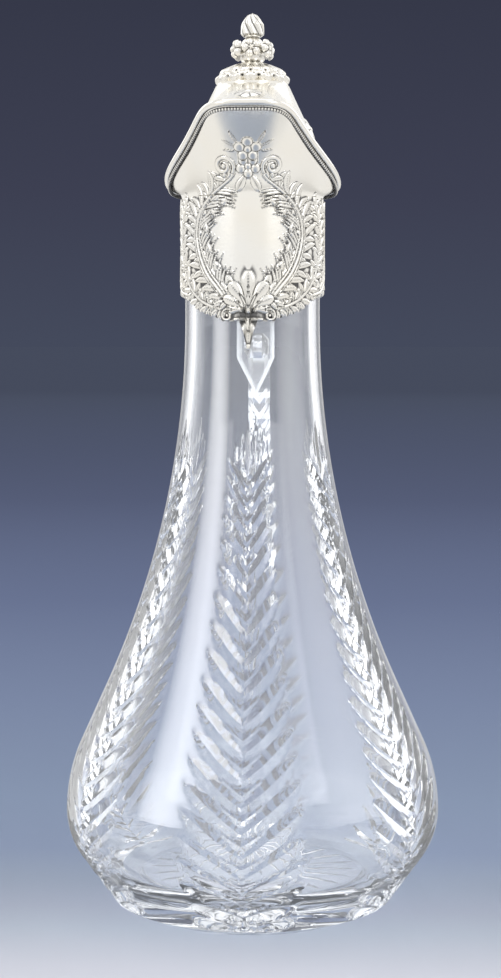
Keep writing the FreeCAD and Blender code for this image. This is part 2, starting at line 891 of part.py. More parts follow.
def finial_bud():
    """The pointed bud at the top, with a blind hole for the stud."""
    foot = bud_foot()
    top = foot + bud_height
    low = at(bud_foot_radius, foot)
    tip = at(bud_tip_radius, top)
    curve = Part.BSplineCurve()
    curve.interpolate([low, at(bud_radius, mix(foot, top, bud_widest_share)), tip])
    hole = stud_radius + stud_clearance
    roof = foot + stud_bud_depth
    return turned(
        [
            line(at(hole, foot), low),
            curve.toShape(),
            line(tip, at(0, top)),
            line(at(0, top), at(0, roof)),
            line(at(0, roof), at(hole, roof)),
            line(at(hole, roof), at(hole, foot)),
        ]
    )


def washer_top():
    """The height of the underside of the lid's top plate."""
    return lid_top_height - lid_wall


def finial_stud():
    """The threaded rod that holds the finial's pieces on the lid."""
    nut_foot = washer_top() - washer_thickness - nut_height
    return cylinder(stud_radius, nut_foot - stud_tail, bud_foot() + stud_bud_depth)


def finial_washer():
    """The washer under the lid's top plate."""
    top = washer_top()
    return tube(washer_radius, stud_radius + stud_clearance, top - washer_thickness, top)


def finial_nut():
    """The six-sided nut under the washer."""
    top = washer_top() - washer_thickness
    foot = top - nut_height
    corners = [on_arc(origin, nut_radius, 60 * index) for index in range(6)]
    flat = [Vector(point.x, point.z, foot) for point in corners]
    block = Part.Face(Part.Wire(polyline(flat))).extrude(up * nut_height)
    return block.cut(cylinder(stud_radius + stud_clearance, foot, top))


# Glass and what holds the silver on it
save(glass_body(), "glass_body")
save(glass_handle(), "glass_handle")
save(cement_bed(), "cement_bed")
save(neck_collar(), "neck_collar")
save(mouth_liner(), "mouth_liner")

# Spout and lid
spout_sheet = spout()
lid_sheet = lid().cut(swing_room())
rim_wire = moulding(rim_wire_radius, -rim_wire_radius).cut(swing_room())
lid_border = moulding(lid_border_radius, lid_seam_gap + lid_border_radius).cut(swing_room())
save(spout_sheet, "spout")
save(rim_wire, "rim_wire")
save(lid_sheet, "lid")
save(lid_border, "lid_border")

# Hinge and thumbpiece
save(hinge_base(spout_sheet, rim_wire), "hinge_base")
save(hinge_pin(), "hinge_pin")
save(hinge_leaf(lid_sheet, lid_border), "hinge_leaf")
save(thumbpiece(), "thumbpiece")

# Shells on the lid
save(lid_shell(0, lid_sheet), "lid_shell_front")
save(lid_shell(1, lid_sheet), "lid_shell_right")
save(lid_shell(2, lid_sheet), "lid_shell_back")
save(lid_shell(3, lid_sheet), "lid_shell_left")

# Finial and its fixings
save(finial_rosette(), "finial_rosette")
save(finial_blossoms(), "finial_blossoms")
save(finial_bud(), "finial_bud")
save(finial_stud(), "finial_stud")
save(finial_washer(), "finial_washer")
save(finial_nut(), "finial_nut")
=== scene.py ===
"""The looks of a cut glass claret jug with a chased silver collar, spout, lid and finial.

Shapes are worked out in millimetres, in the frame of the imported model, and put into Blender in
metres. The glass and the chased silver are surfaces on grids. Turned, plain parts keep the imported
model's own meshes and only get their finish here.
"""

import logging
import math
from dataclasses import dataclass
from enum import Enum

import bmesh
import bpy
import numpy as np
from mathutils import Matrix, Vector

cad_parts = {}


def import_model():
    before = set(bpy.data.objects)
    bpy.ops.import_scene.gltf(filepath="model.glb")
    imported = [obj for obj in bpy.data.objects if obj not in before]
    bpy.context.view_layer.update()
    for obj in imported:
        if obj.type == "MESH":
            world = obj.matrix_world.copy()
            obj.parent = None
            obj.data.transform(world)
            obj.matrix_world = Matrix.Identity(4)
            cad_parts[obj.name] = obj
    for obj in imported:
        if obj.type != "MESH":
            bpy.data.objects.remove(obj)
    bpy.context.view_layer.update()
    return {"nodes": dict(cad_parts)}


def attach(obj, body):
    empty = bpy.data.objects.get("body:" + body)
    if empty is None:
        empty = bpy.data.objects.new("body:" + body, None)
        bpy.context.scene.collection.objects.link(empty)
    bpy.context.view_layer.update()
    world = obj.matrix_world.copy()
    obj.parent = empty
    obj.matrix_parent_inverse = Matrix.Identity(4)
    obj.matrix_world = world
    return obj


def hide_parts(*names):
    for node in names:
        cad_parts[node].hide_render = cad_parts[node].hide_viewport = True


LOG = logging.getLogger("claret_jug")
METRE = 0.001
Array = np.ndarray


class Body(Enum):
    """The two bodies that the pieces ride on."""

    JUG = "jug"
    LID = "lid"


class Slot(Enum):
    """The record's material slots."""

    CUT_GLASS = "cut_glass"
    HANDLE_GLASS = "handle_glass"
    PLASTER = "plaster"
    CHASED = "chased_silver"
    LINER = "gilt_liner"
    POLISHED = "polished_silver"
    HINGE = "hinge_silver"
    CAST = "cast_silver"
    STEEL = "pin_steel"


# Shader expressions


class Graph:
    """One material's or world's node tree, with one method that adds any node."""

    def __init__(self, tree: bpy.types.NodeTree) -> None:
        """Empties the tree.

        Args:
            tree: the node tree to fill.
        """
        self.tree = tree
        tree.nodes.clear()

    def add(self, kind: str, settings: dict | None = None, **sockets: object) -> bpy.types.Node:
        """Adds a node.

        Args:
            kind: the node's type name.
            settings: the node's own properties, set first; a ramp's stops go under "stops".
            sockets: values or wires for inputs; spaces in names are written as underscores.

        Returns:
            The new node.
        """
        node = self.tree.nodes.new(kind)
        for name, value in (settings or {}).items():
            if name == "stops":
                self._stops(node, value)
            else:
                setattr(node, name, value)
        for name, value in sockets.items():
            socket = self._input(node, name)
            if isinstance(value, Wire):
                self.tree.links.new(value.socket, socket)
            else:
                socket.default_value = value
        return node

    @staticmethod
    def _stops(node: bpy.types.Node, stops: list[tuple[float, tuple]]) -> None:
        """Gives a ramp its stops, each a place and a colour.

        Args:
            node: the ramp.
            stops: places from 0 to 1, each with its colour.
        """
        elements = node.color_ramp.elements
        while len(elements) < len(stops):
            elements.new(1.0)
        for element, (place, colour) in zip(elements, stops):
            element.position = place
            element.color = (*colour, 1.0)

    @staticmethod
    def _input(node: bpy.types.Node, name: str) -> bpy.types.NodeSocket:
        """Finds an input by its name, or by its number where the name is in_0, in_1 and so on.

        Args:
            node: the node.
            name: the input's name, with underscores for spaces.

        Returns:
            The input.
        """
        if name.startswith("in_"):
            return node.inputs[int(name[3:])]
        return node.inputs[name.replace("_", " ")]

    def wire(self, node: bpy.types.Node, output: str | int = 0) -> "Wire":
        """The wire from a node's output."""
        return Wire(self, node.outputs[output])

    def coordinates(self) -> "Wire":
        """Object coordinates, in metres."""
        return self.wire(self.add("ShaderNodeTexCoord"), "Object")

    def attribute(self, name: str) -> "Wire":
        """A number that is stored on the mesh."""
        return self.wire(self.add("ShaderNodeAttribute", {"attribute_name": name}), "Fac")

    def noise(self, scale: float, detail: float = 3.0, roughness: float = 0.5) -> "Wire":
        """A soft noise from 0 to 1, whose scale counts per metre.

        Args:
            scale: bumps per metre.
            detail: layers of finer noise.
            roughness: how much the finer layers count.

        Returns:
            The noise.
        """
        node = self.add(
            "ShaderNodeTexNoise", Vector=self.coordinates(), Scale=scale, Detail=detail, Roughness=roughness
        )
        return self.wire(node, "Fac")

    def mix(self, factor: object, first: object, second: object) -> "Wire":
        """Mixes two colours by a factor.

        Args:
            factor: 0 for the first and 1 for the second.
            first: a colour.
            second: a colour.

        Returns:
            The mixed colour.
        """
        node = self.add(
            "ShaderNodeMix", {"data_type": "RGBA"}, in_0=factor, in_6=first, in_7=second
        )
        return self.wire(node, 2)

    def bump(self, height: "Wire", distance: float, strength: float = 1.0) -> "Wire":
        """The normal of a height in metres.

        Args:
            height: the height, from 0 to 1.
            distance: metres for a height of 1.
            strength: share of the effect.

        Returns:
            The normal.
        """
        node = self.add("ShaderNodeBump", Height=height, Distance=distance, Strength=strength)
        return self.wire(node)


class Wire:
    """A shader value that Python's operators build on."""

    def __init__(self, graph: Graph, socket: bpy.types.NodeSocket) -> None:
        """Holds an output socket and the tree that it is in."""
        self.graph = graph
        self.socket = socket

    def _math(self, operation: str, first: object, second: object, clamp: bool = False) -> "Wire":
        """A Math node on two values.

        Args:
            operation: the node's operation.
            first: a value or wire.
            second: a value or wire.
            clamp: whether the result stays between 0 and 1.

        Returns:
            The result.
        """
        node = self.graph.add(
            "ShaderNodeMath", {"operation": operation, "use_clamp": clamp}, in_0=first, in_1=second
        )
        return self.graph.wire(node)

    def __add__(self, other: object) -> "Wire":
        """Sum."""
        return self._math("ADD", self, other)

    __radd__ = __add__

    def __sub__(self, other: object) -> "Wire":
        """Difference."""
        return self._math("SUBTRACT", self, other)

    def __rsub__(self, other: object) -> "Wire":
        """Difference from a number."""
        return self._math("SUBTRACT", other, self)

    def __mul__(self, other: object) -> "Wire":
        """Product."""
        return self._math("MULTIPLY", self, other)

    __rmul__ = __mul__

    def __pow__(self, other: float) -> "Wire":
        """Power."""
        return self._math("POWER", self, other)

    def size(self) -> "Wire":
        """The value without its sign."""
        return self._math("ABSOLUTE", self, 0.0)

    def fraction(self) -> "Wire":
        """The part of the value after the point."""
        return self._math("FRACT", self, 0.0)

    def clamped(self) -> "Wire":
        """The value kept between 0 and 1."""
        return self._math("ADD", self, 0.0, clamp=True)


Colour = tuple[float, float, float]


def new_graph(name: str) -> tuple[bpy.types.Material, Graph]:
    """A new material and its empty tree.

    Args:
        name: the material's name.

    Returns:
        The material and its tree.
    """
    material = bpy.data.materials.new(name)
    material.use_nodes = True
    return material, Graph(material.node_tree)


def finish_graph(graph: Graph, shader: bpy.types.Node) -> None:
    """Joins a shader to the material's output."""
    graph.add("ShaderNodeOutputMaterial", Surface=graph.wire(shader))


@dataclass(frozen=True)
class Silver:
    """Silver darkened where the mesh's number named groove says: patina in the chased hollows, and painted
    shade on the rim wire and in the finial's pits.
    """

    name: str
    bright: Colour = (0.935, 0.925, 0.895)
    warm: Colour = (0.945, 0.905, 0.82)
    dark: Colour = (0.055, 0.055, 0.062)
    roughness: float = 0.2
    groove_roughness: float = 0.55
    grain: float = 0.00002
    grooves: bool = True

    def material(self) -> bpy.types.Material:
        """Builds the material."""
        material, graph = new_graph(self.name)
        clouds = graph.noise(45.0, 2.0)
        fine = graph.noise(900.0, 3.0)
        tone = graph.mix((clouds * 1.6 - 0.45).clamped(), (*self.bright, 1), (*self.warm, 1))
        groove = (graph.attribute("groove") * (fine * 0.35 + 0.8)).clamped() if self.grooves else fine * 0.05
        # Darkened by groove: patina in chased hollows, and painted shade on the rim wire and in the finial's
        # pits.
        colour = graph.mix(groove, tone, (*self.dark, 1))
        rough = clouds * 0.06 + (self.roughness - 0.03) + groove * (self.groove_roughness - self.roughness)
        shader = graph.add(
            "ShaderNodeBsdfPrincipled",
            Metallic=1.0,
            Base_Color=colour,
            Roughness=rough,
            Normal=graph.bump(fine, self.grain),
        )
        finish_graph(graph, shader)
        return material


@dataclass(frozen=True)
class Glass:
    """Clear cut glass with the faint ripple of polishing, and cuts that stay a little white.

    The mesh says under the name groove how deep the surface is cut.
    """

    name: str
    tint: Colour = (0.985, 0.992, 1.0)
    ground: Colour = (0.9, 0.92, 0.95)
    index: float = 1.52
    ripple: float = 0.00004
    haze: float = 0.019
    cut_haze: float = 0.045

    def material(self) -> bpy.types.Material:
        """Builds the material."""
        material, graph = new_graph(self.name)
        white = graph.attribute("groove") * (graph.noise(350.0, 2.0) * 0.8 + 0.6) * self.cut_haze + self.haze
        finish_graph(graph, self.shader(graph, white.clamped()))
        return material

    def shader(self, graph: Graph, white: Wire) -> bpy.types.Node:
        """Adds clear glass to a tree, mixed with ground glass by the share that is white.

        Args:
            graph: the tree.
            white: the share that is ground.

        Returns:
            The shader.
        """
        clear = graph.add(
            "ShaderNodeBsdfPrincipled",
            Base_Color=(*self.tint, 1),
            Transmission_Weight=1.0,
            IOR=self.index,
            Roughness=graph.noise(25.0, 2.0) * 0.012,
            Normal=graph.bump(graph.noise(70.0, 1.0), self.ripple),
        )
        ground = graph.add(
            "ShaderNodeBsdfPrincipled",
            Base_Color=(*self.ground, 1),
            Roughness=graph.noise(300.0) * 0.2 + 0.35,
        )
        return graph.add("ShaderNodeMixShader", in_0=white, in_1=graph.wire(clear), in_2=graph.wire(ground))


@dataclass(frozen=True)
class BarGlass:
    """The handle's glass, with ground white laid on its bevel and notches as painted highlights where they
    catch the light.

    The shield's bevel is a band inside its outline, which narrows evenly below its shoulder. The
    chevrons follow the fraction of height plus a share of the distance from the middle.
    """

    glass: Glass
    half_width: float = 9.0
    shoulder: float = 228.0
    tip: float = 211.5
    jacket: float = 0.0325
    pitch: float = 7.0

    def material(self) -> bpy.types.Material:
        """Builds the material."""
        material = self.glass.material()
        graph = Graph(material.node_tree)
        parts = graph.add("ShaderNodeSeparateXYZ", Vector=graph.coordinates())
        across = graph.wire(parts, "X").size() * 1000.0
        back, upright = graph.wire(parts, "Y"), graph.wire(parts, "Z") * 1000.0
        taper = ((upright - self.tip) * (1 / (self.shoulder - self.tip))).clamped() * self.half_width
        on_pad = ((self.jacket - back) * 900.0).clamped()
        # Painted highlight: a white band inside the shield's outline, over a faint white fill of the pad.
        bevel = ((across - taper + 2.6) * 0.6).clamped() * 0.42 + 0.08
        place = ((upright - across * 1.1) * (1 / self.pitch)).fraction()
        # Painted highlight: white chevrons on the notches below the pad.
        chevron = ((place - 0.55).clamped() * 9.0).clamped() * ((5.2 - across) * 1.0).clamped()
        below = (self.tip + 3.0 - upright).clamped() * ((upright - 160.0) * 0.05).clamped()
        bar = (chevron * 0.5 + 0.06) * below + 0.02
        cloud = graph.noise(600.0, 2.0) * 0.3 + 0.8
        white = (bevel * on_pad + bar * (1.0 - on_pad)) * cloud
        finish_graph(graph, self.glass.shader(graph, white.clamped()))
        return material


@dataclass(frozen=True)
class Solid:
    """A plain solid with clouded colour and a fine grain: plaster, steel or gilding."""

    name: str
    light: Colour
    deep: Colour
    metallic: float
    roughness: float
    grain_scale: float = 500.0
    grain: float = 0.00005

    def material(self) -> bpy.types.Material:
        """Builds the material."""
        material, graph = new_graph(self.name)
        clouds = graph.noise(120.0, 4.0)
        fine = graph.noise(self.grain_scale, 4.0)
        shader = graph.add(
            "ShaderNodeBsdfPrincipled",
            Base_Color=graph.mix(clouds, (*self.light, 1), (*self.deep, 1)),
            Metallic=self.metallic,
            Roughness=fine * 0.12 + (self.roughness - 0.06),
            Normal=graph.bump(fine, self.grain),
        )
        finish_graph(graph, shader)
        return material


# Surfaces on grids


@dataclass
class Sheet:
    """A grid of points, rows by columns by 3, with a number for the groove at each."""

    points: Array
    groove: Array | None = None

    def wrapped(self) -> "Sheet":
        """The same grid with its first column repeated at the end."""
        points = np.concatenate([self.points, self.points[:, :1]], axis=1)
        groove = None if self.groove is None else np.concatenate([self.groove, self.groove[:, :1]], axis=1)
        return Sheet(points, groove)


def unit(vectors: Array) -> Array:
    """Vectors divided by their own length."""
    return vectors / np.maximum(np.linalg.norm(vectors, axis=-1, keepdims=True), 1e-12)


def grid_normals(points: Array, wrap: bool = True) -> Array:
    """Normals of a grid: the cross product of the steps along columns and along rows.

    Args:
        points: the grid.
        wrap: whether its columns close on themselves.

    Returns:
        Unit vectors on the same grid.
    """
    if wrap:
        along = np.roll(points, -1, axis=1) - np.roll(points, 1, axis=1)
    else:
        along = np.gradient(points, axis=1)
    return unit(np.cross(along, np.gradient(points, axis=0)))


def smoothstep(low: float, high: float, value: Array) -> Array:
    """0 below the low value, 1 above the high one, and 3t squared less 2t cubed between."""
    t = np.clip((value - low) / (high - low), 0, 1)
    return t * t * (3 - 2 * t)


def round_axis(radius: Array | float, angle: Array, height: Array | float) -> Array:
    """Points round the Z axis: radius times sine, minus radius times cosine, height.

    A turn starts at the front and goes towards +X.

    Args:
        radius: distances from the axis, in millimetres.
        angle: angles, in radians.
        height: heights, in millimetres.

    Returns:
        The points, on the grid that the three make together.
    """
    parts = np.broadcast_arrays(radius * np.sin(angle), -radius * np.cos(angle), height)
    return np.stack(parts, axis=-1)


def turned(profile: Array, columns: int) -> Array:
    """A profile of radius and height, carried round the Z axis.

    Args:
        profile: radius and height at each row.
        columns: places round the axis.

    Returns:
        The points, rows by columns.
    """
    angle = np.linspace(0, 2 * np.pi, columns, endpoint=False)
    return round_axis(profile[:, :1], angle, profile[:, 1:2])


@dataclass
class Maker:
    """Puts sheets into Blender as pieces."""

    sharp_degrees: float = 40.0

    def piece(
        self,
        name: str,
        sheets: list[Sheet],
        material: bpy.types.Material,
        body: Body,
        replaces: tuple[str, ...] = (),
        sharp_degrees: float | None = None,
    ) -> bpy.types.Object:
        """Joins sheets into one mesh, closes it, turns its faces outwards and hangs it on a body.

        Args:
            name: the piece's name.
            sheets: grids in millimetres, already wrapped where they close on themselves.
            material: the finish.
            body: the body that the piece rides on.
            replaces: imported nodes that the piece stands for.
            sharp_degrees: the angle above which an edge is shown sharp.

        Returns:
            The new object.
        """
        points, groove, faces, start = [], [], [], 0
        for sheet in sheets:
            rows, columns = sheet.points.shape[:2]
            number = start + np.arange(rows * columns).reshape(rows, columns)
            faces.append(
                np.stack(
                    [number[:-1, :-1], number[:-1, 1:], number[1:, 1:], number[1:, :-1]], axis=-1
                ).reshape(-1, 4)
            )
            points.append(sheet.points.reshape(-1, 3))
            flat = np.zeros(rows * columns) if sheet.groove is None else sheet.groove.reshape(-1)
            groove.append(flat)
            start += rows * columns
        mesh = bpy.data.meshes.new(name)
        quads = np.concatenate(faces)
        places = np.concatenate(points) * METRE
        mesh.vertices.add(len(places))
        mesh.vertices.foreach_set("co", places.astype(np.float32).ravel())
        mesh.loops.add(len(quads) * 4)
        mesh.loops.foreach_set("vertex_index", quads.astype(np.int32).ravel())
        mesh.polygons.add(len(quads))
        mesh.polygons.foreach_set("loop_start", np.arange(0, len(quads) * 4, 4, dtype=np.int32))
        mesh.attributes.new("groove", "FLOAT", "POINT").data.foreach_set(
            "value", np.concatenate(groove).astype(np.float32)
        )
        mesh.update(calc_edges=True)
        mesh.validate()
        self._close(mesh)
        mesh.polygons.foreach_set("use_smooth", np.ones(len(mesh.polygons), dtype=bool))
        mesh.set_sharp_from_angle(angle=math.radians(sharp_degrees or self.sharp_degrees))
        mesh.materials.append(material)
        thing = bpy.data.objects.new(name, mesh)
        bpy.context.scene.collection.objects.link(thing)
        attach(thing, body.value)
        if replaces:
            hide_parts(*replaces)
        LOG.info("piece %s: %d points, %d faces", name, len(mesh.vertices), len(mesh.polygons))
        return thing

    @staticmethod
    def _close(mesh: bpy.types.Mesh) -> None:
        """Welds the seams and poles of a mesh and turns its faces outwards.

        Args:
            mesh: the mesh to close.
        """
        work = bmesh.new()
        work.from_mesh(mesh)
        bmesh.ops.remove_doubles(work, verts=work.verts, dist=1e-7)
        bmesh.ops.recalc_face_normals(work, faces=work.faces)
        work.to_mesh(mesh)
        work.free()

    @staticmethod
    def dress(node: bpy.types.Object, material: bpy.types.Material) -> None:
        """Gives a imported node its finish.

        Args:
            node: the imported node.
            material: its finish.
        """
        node.data.materials.clear()
        node.data.materials.append(material)
        LOG.info("node %s dressed", node.name)


# The glass body


@dataclass
class GlassOutline:
    """The turned outline of the glass body: three arcs with a straight shoulder."""

    neck_radius: float = 27.6
    neck_start: float = 245.0
    neck_curve: float = 366.0
    belly_radius: float = 77.6
    belly_height: float = 41.0
    upper_curve: float = 68.0
    lower_curve: float = 30.0
    undercut_degrees: float = 35.7
    foot_edge: tuple[float, float] = (58.6, 4.6)
    foot_radius: float = 47.5
    mouth: float = 291.0
    wall: float = 4.2

    def __post_init__(self) -> None:
        """Finds the angle at which the shoulder touches the arcs on both sides."""
        self.neck_centre = np.array([self.neck_radius + self.neck_curve, self.neck_start])
        self.upper_centre = np.array([self.belly_radius - self.upper_curve, self.belly_height])
        self.lower_centre = np.array([self.belly_radius - self.lower_curve, self.belly_height])
        run = self.upper_centre - self.neck_centre
        self.shoulder = math.atan2(run[1], run[0]) - math.acos(
            (self.neck_curve + self.upper_curve) / np.linalg.norm(run)
        )

    @staticmethod
    def _arc(centre: Array, radius: float, first: float, last: float, count: int) -> Array:
        """Points on an arc, centre plus radius times (cosine, sine)."""
        angle = np.linspace(first, last, count)
        return centre + radius * np.stack([np.cos(angle), np.sin(angle)], axis=-1)

    def walls(self, inset: float, last: float, count: int) -> Array:
        """The outline from the low end of the belly up to the neck, set in by a distance.

        Args:
            inset: how far it is set in.
            last: the angle where the lowest arc ends, in radians.
            count: places on each of the lower arcs.

        Returns:
            Radius and height at each place.
        """
        shoulder = self.shoulder
        parts = [
            self._arc(self.lower_centre, self.lower_curve - inset, last, 0, count),
            self._arc(self.upper_centre, self.upper_curve - inset, 0, shoulder + math.pi, count)[1:],
            self._arc(self.neck_centre, self.neck_curve + inset, shoulder, -math.pi, 2 * count),
        ]
        return np.concatenate(parts)

    def outside(self) -> Array:
        """The outside from the foot's flat ring to the mouth."""
        ends = np.array([[self.neck_radius, self.mouth]])
        foot = np.array([[self.foot_radius, 0.0], list(self.foot_edge)])
        return np.concatenate([foot, self.walls(0.0, -math.radians(self.undercut_degrees), 400), ends])


@dataclass
class OutlineWalk:
    """Places along an outline by the distance walked, with the direction off the surface."""

    line: Array

    def __post_init__(self) -> None:
        """Adds up the distance along the outline."""
        steps = np.linalg.norm(np.diff(self.line, axis=0), axis=1)
        self.walked = np.concatenate([[0.0], np.cumsum(steps)])
        self.length = float(self.walked[-1])

    def at(self, distance: Array) -> Array:
        """Radius and height at a distance."""
        return np.stack([np.interp(distance, self.walked, self.line[:, k]) for k in (0, 1)], axis=-1)

    def off(self, distance: Array) -> Array:
        """The outward direction at a distance: the tangent turned a quarter.

        Args:
            distance: distances walked along the outline.

        Returns:
            Unit vectors.
        """
        step = 0.4
        ahead = self.at(np.minimum(distance + step, self.length))
        behind = self.at(np.maximum(distance - step, 0))
        tangent = unit(ahead - behind)
        return np.stack([tangent[..., 1], -tangent[..., 0]], axis=-1)

    def from_height(self, height: Array) -> Array:
        """The distance at which the outline reaches a height."""
        return np.interp(height, self.line[:, 1], self.walked)


@dataclass
class CutGlassBody:
    """The hollow body with six bands of feather cuts and a star under the foot."""

    outline: GlassOutline
    columns: int = 360
    bands: int = 6
    rows_per_leaf: int = 8
    groove_depth: float = 1.55
    leaf_tips: tuple[float, ...] = (
        8.8, 17.5, 27.0, 36.8, 46.5, 57.0, 67.0, 76.2, 85.4, 94.6,
        104.3, 114.6, 124.6, 135.2, 146.0, 156.2, 165.6, 173.8, 181.2, 188.2,
    )
    blades: tuple[tuple[float, float, float, float], ...] = (
        (0.0, 181.0, 203.0, 1.25),
        (-4.6, 184.0, 199.0, 1.0),
        (4.6, 184.0, 199.0, 1.0),
        (-8.6, 186.0, 195.0, 0.8),
        (8.6, 186.0, 195.0, 0.8),
    )
    rays: int = 24
    ray_half_width: float = 2.6
    white_depth: float = 0.5

    def _half_width(self, height: Array) -> Array:
        """Half a band's width in degrees at a height."""
        return np.interp(height, [0, 20, 60, 110, 190, 210], [19.0, 19.0, 18.6, 17.2, 14.6, 14.2])

    def _lean(self, height: Array) -> Array:
        """How far a leaf leans from upright, in degrees."""
        return np.interp(height, [0, 60, 130, 190], [47.0, 46.0, 39.0, 31.0])

    def _outside(self) -> Sheet:
        """The outside as a grid whose rows run along the leaves, with the share that is cut.

        In each band a row starts at the spine and climbs to the band's edge by the leaf's own
        slope, and between bands it stays level. The surface is the outline pushed in by the
        depth of the cuts: each leaf is a groove with two flat sides, whose width follows a sine
        from a point at the spine to a point at its tip.
        """
        walk = OutlineWalk(self.outline.outside())
        first = float(walk.walked[1])
        tips = walk.from_height(np.array(self.leaf_tips))
        count = len(tips)
        leaf_rows = np.arange(count * self.rows_per_leaf) / self.rows_per_leaf - 0.5
        tip_line = np.interp(leaf_rows, np.arange(count), tips)
        pitch = np.gradient(tips)
        tip_line += np.where(leaf_rows < 0, leaf_rows * pitch[0] * 0.8, 0)
        tip_line += np.where(leaf_rows > count - 1, (leaf_rows - count + 1) * pitch[-1], 0)
        tip_line = np.maximum(tip_line, first + 0.25 + 0.2 * (leaf_rows - leaf_rows[0]))
        top_start = tip_line[-1]
        above = top_start + np.cumsum(np.linspace(1.0, 5.2, 26))
        above = above[above < walk.length - 2]
        below = np.array([0.0, first * 0.5, first])
        tip_line = np.concatenate([below, tip_line, above, [walk.length]])
        leaf = np.concatenate([below * 0 - 9, leaf_rows, above * 0 + 99, [99]])

        radius, height = walk.at(tip_line).T
        half = self._half_width(height)
        lean = np.radians(self._lean(height))
        climb = radius * np.radians(half) / np.tan(lean)
        room = np.maximum(tip_line - first, 0)
        climb = climb * (1 - np.exp(-0.62 * room / climb))
        fall = smoothstep(top_start, top_start + 52, tip_line)
        climb = climb * (1 - fall)

        degrees = np.arange(self.columns) * 360.0 / self.columns
        step = 360.0 / self.bands
        turn = (degrees + step / 2) % step - step / 2
        along = np.abs(turn)[None] / half[:, None]
        share = np.clip(along, 0, 1) ** 1.12
        distance = tip_line[:, None] - climb[:, None] * (1 - share)

        local = leaf[:, None] - np.round(leaf[:, None])
        real = (leaf[:, None] > -1) & (leaf[:, None] < 50)
        depth = self._leaf_depth(along, local) * real
        depth = np.maximum(depth, self._blades(walk, distance, turn[None]))
        places = walk.at(distance)
        off = walk.off(distance)
        edge = smoothstep(first + 0.1, first + 2.0, distance)
        surface = places - off * (depth * edge)[..., None]
        points = round_axis(surface[..., 0], np.radians(degrees)[None], surface[..., 1])
        return Sheet(points, np.clip(depth / self.white_depth, 0, 1))

    def _leaf_depth(self, along: Array, local: Array) -> Array:
        """The depth of the leaves and of the small seed cuts between their feet.

        Args:
            along: place across the band, 0 at the spine and 1 at its edge.
            local: place between two leaves, from -0.5 to 0.5.

        Returns:
            The depth in millimetres.
        """
        inside = np.clip(along, 0, 1)
        width = 0.5 * np.sin(np.pi * inside**0.8) ** 0.55 * (along < 1)
        leaf = np.maximum(width - np.abs(local), 0) / 0.5 * self.groove_depth
        between = 0.5 - np.abs(local)
        reach = np.clip(along / 0.42, 0, 1)
        seed_width = 0.3 * np.cos(np.pi / 2 * reach) * (along < 0.42)
        seed = np.maximum(seed_width - between, 0) / 0.3 * self.groove_depth * 0.72
        return np.maximum(leaf, seed)

    def _blades(self, walk: OutlineWalk, distance: Array, turn: Array) -> Array:
        """Long upright blades over the top leaves: grooves beside and on the spine.

        Args:
            walk: the outline.
            distance: distances walked along it.
            turn: degrees from the band's spine.

        Returns:
            The depth in millimetres.
        """
        depth = np.zeros(np.broadcast(distance, turn).shape)
        radius = walk.at(distance)[..., 0]
        for centre, low, high, width in self.blades:
            start, end = walk.from_height(np.array([low, high]))
            share = np.clip((distance - start) / (end - start), 0, 1)
            half = width * np.sin(np.pi * share) ** 0.8
            across = np.abs(turn - centre) * np.pi / 180 * radius
            depth = np.maximum(depth, np.maximum(half - across, 0) * 0.62)
        return depth

    def _foot(self) -> Array:
        """The foot's underside: a star of grooves, each a lens in plan with two flat sides."""
        radius = np.array([47.5, 45.6, 44.0, 42.0, 38.0, 33.0, 28.0, 23.0, 18.0, 13.0, 8.5, 4.5, 1.5, 0.0])
        degrees = np.arange(self.columns) * 360.0 / self.columns
        step = 360.0 / self.rays
        turn = (degrees + step / 2) % step - step / 2
        across = np.abs(np.radians(turn))[None] * radius[:, None]
        share = np.clip((radius - 3) / 40.0, 0, 1)[:, None]
        width = self.ray_half_width * np.sin(np.pi * share) ** 0.6
        depth = np.maximum(width - across, 0) * 0.55
        return round_axis(radius[:, None], np.radians(degrees)[None], depth)

    def _inside(self) -> Array:
        """The cavity: the outline set in by the wall, then the flat floor."""
        line = self.outline.walls(self.outline.wall, -math.pi / 2, 60)
        walk = OutlineWalk(line)
        places = walk.at(np.linspace(walk.length, 0, 52))
        floor = float(line[0, 1])
        mouth = np.array([[self.outline.neck_radius - self.outline.wall, self.outline.mouth]])
        rest = np.array([[40.0, floor], [26.0, floor], [12.0, floor], [0.0, floor]])
        return turned(np.concatenate([mouth, places, rest]), self.columns)

    def build(self, maker: Maker, material: bpy.types.Material) -> bpy.types.Object:
        """Makes the piece as one closed surface, inside and out, and returns it.

        Args:
            maker: puts the sheets into the scene.
            material: the finish.

        Returns:
            The new object.
        """
        outside = self._outside()
        inside = self._inside()
        foot = self._foot()
        foot[0] = outside.points[0]
        lip = np.stack([outside.points[-1], inside[0]])
        rest = [Sheet(part).wrapped() for part in (lip, inside, foot)]
        sheets = [outside.wrapped(), *rest]
        body = maker.piece(
            "jug_glass", sheets, material, Body.JUG, ("glass_body",), sharp_degrees=14.0
        )
        body.visible_shadow = False
        return body


# Chased ornament


@dataclass
class Stroke:
    """A raised line of chasing: its places on the unrolled silver, half widths and height."""

    line: Array
    width: Array
    height: float
    vein: bool = False


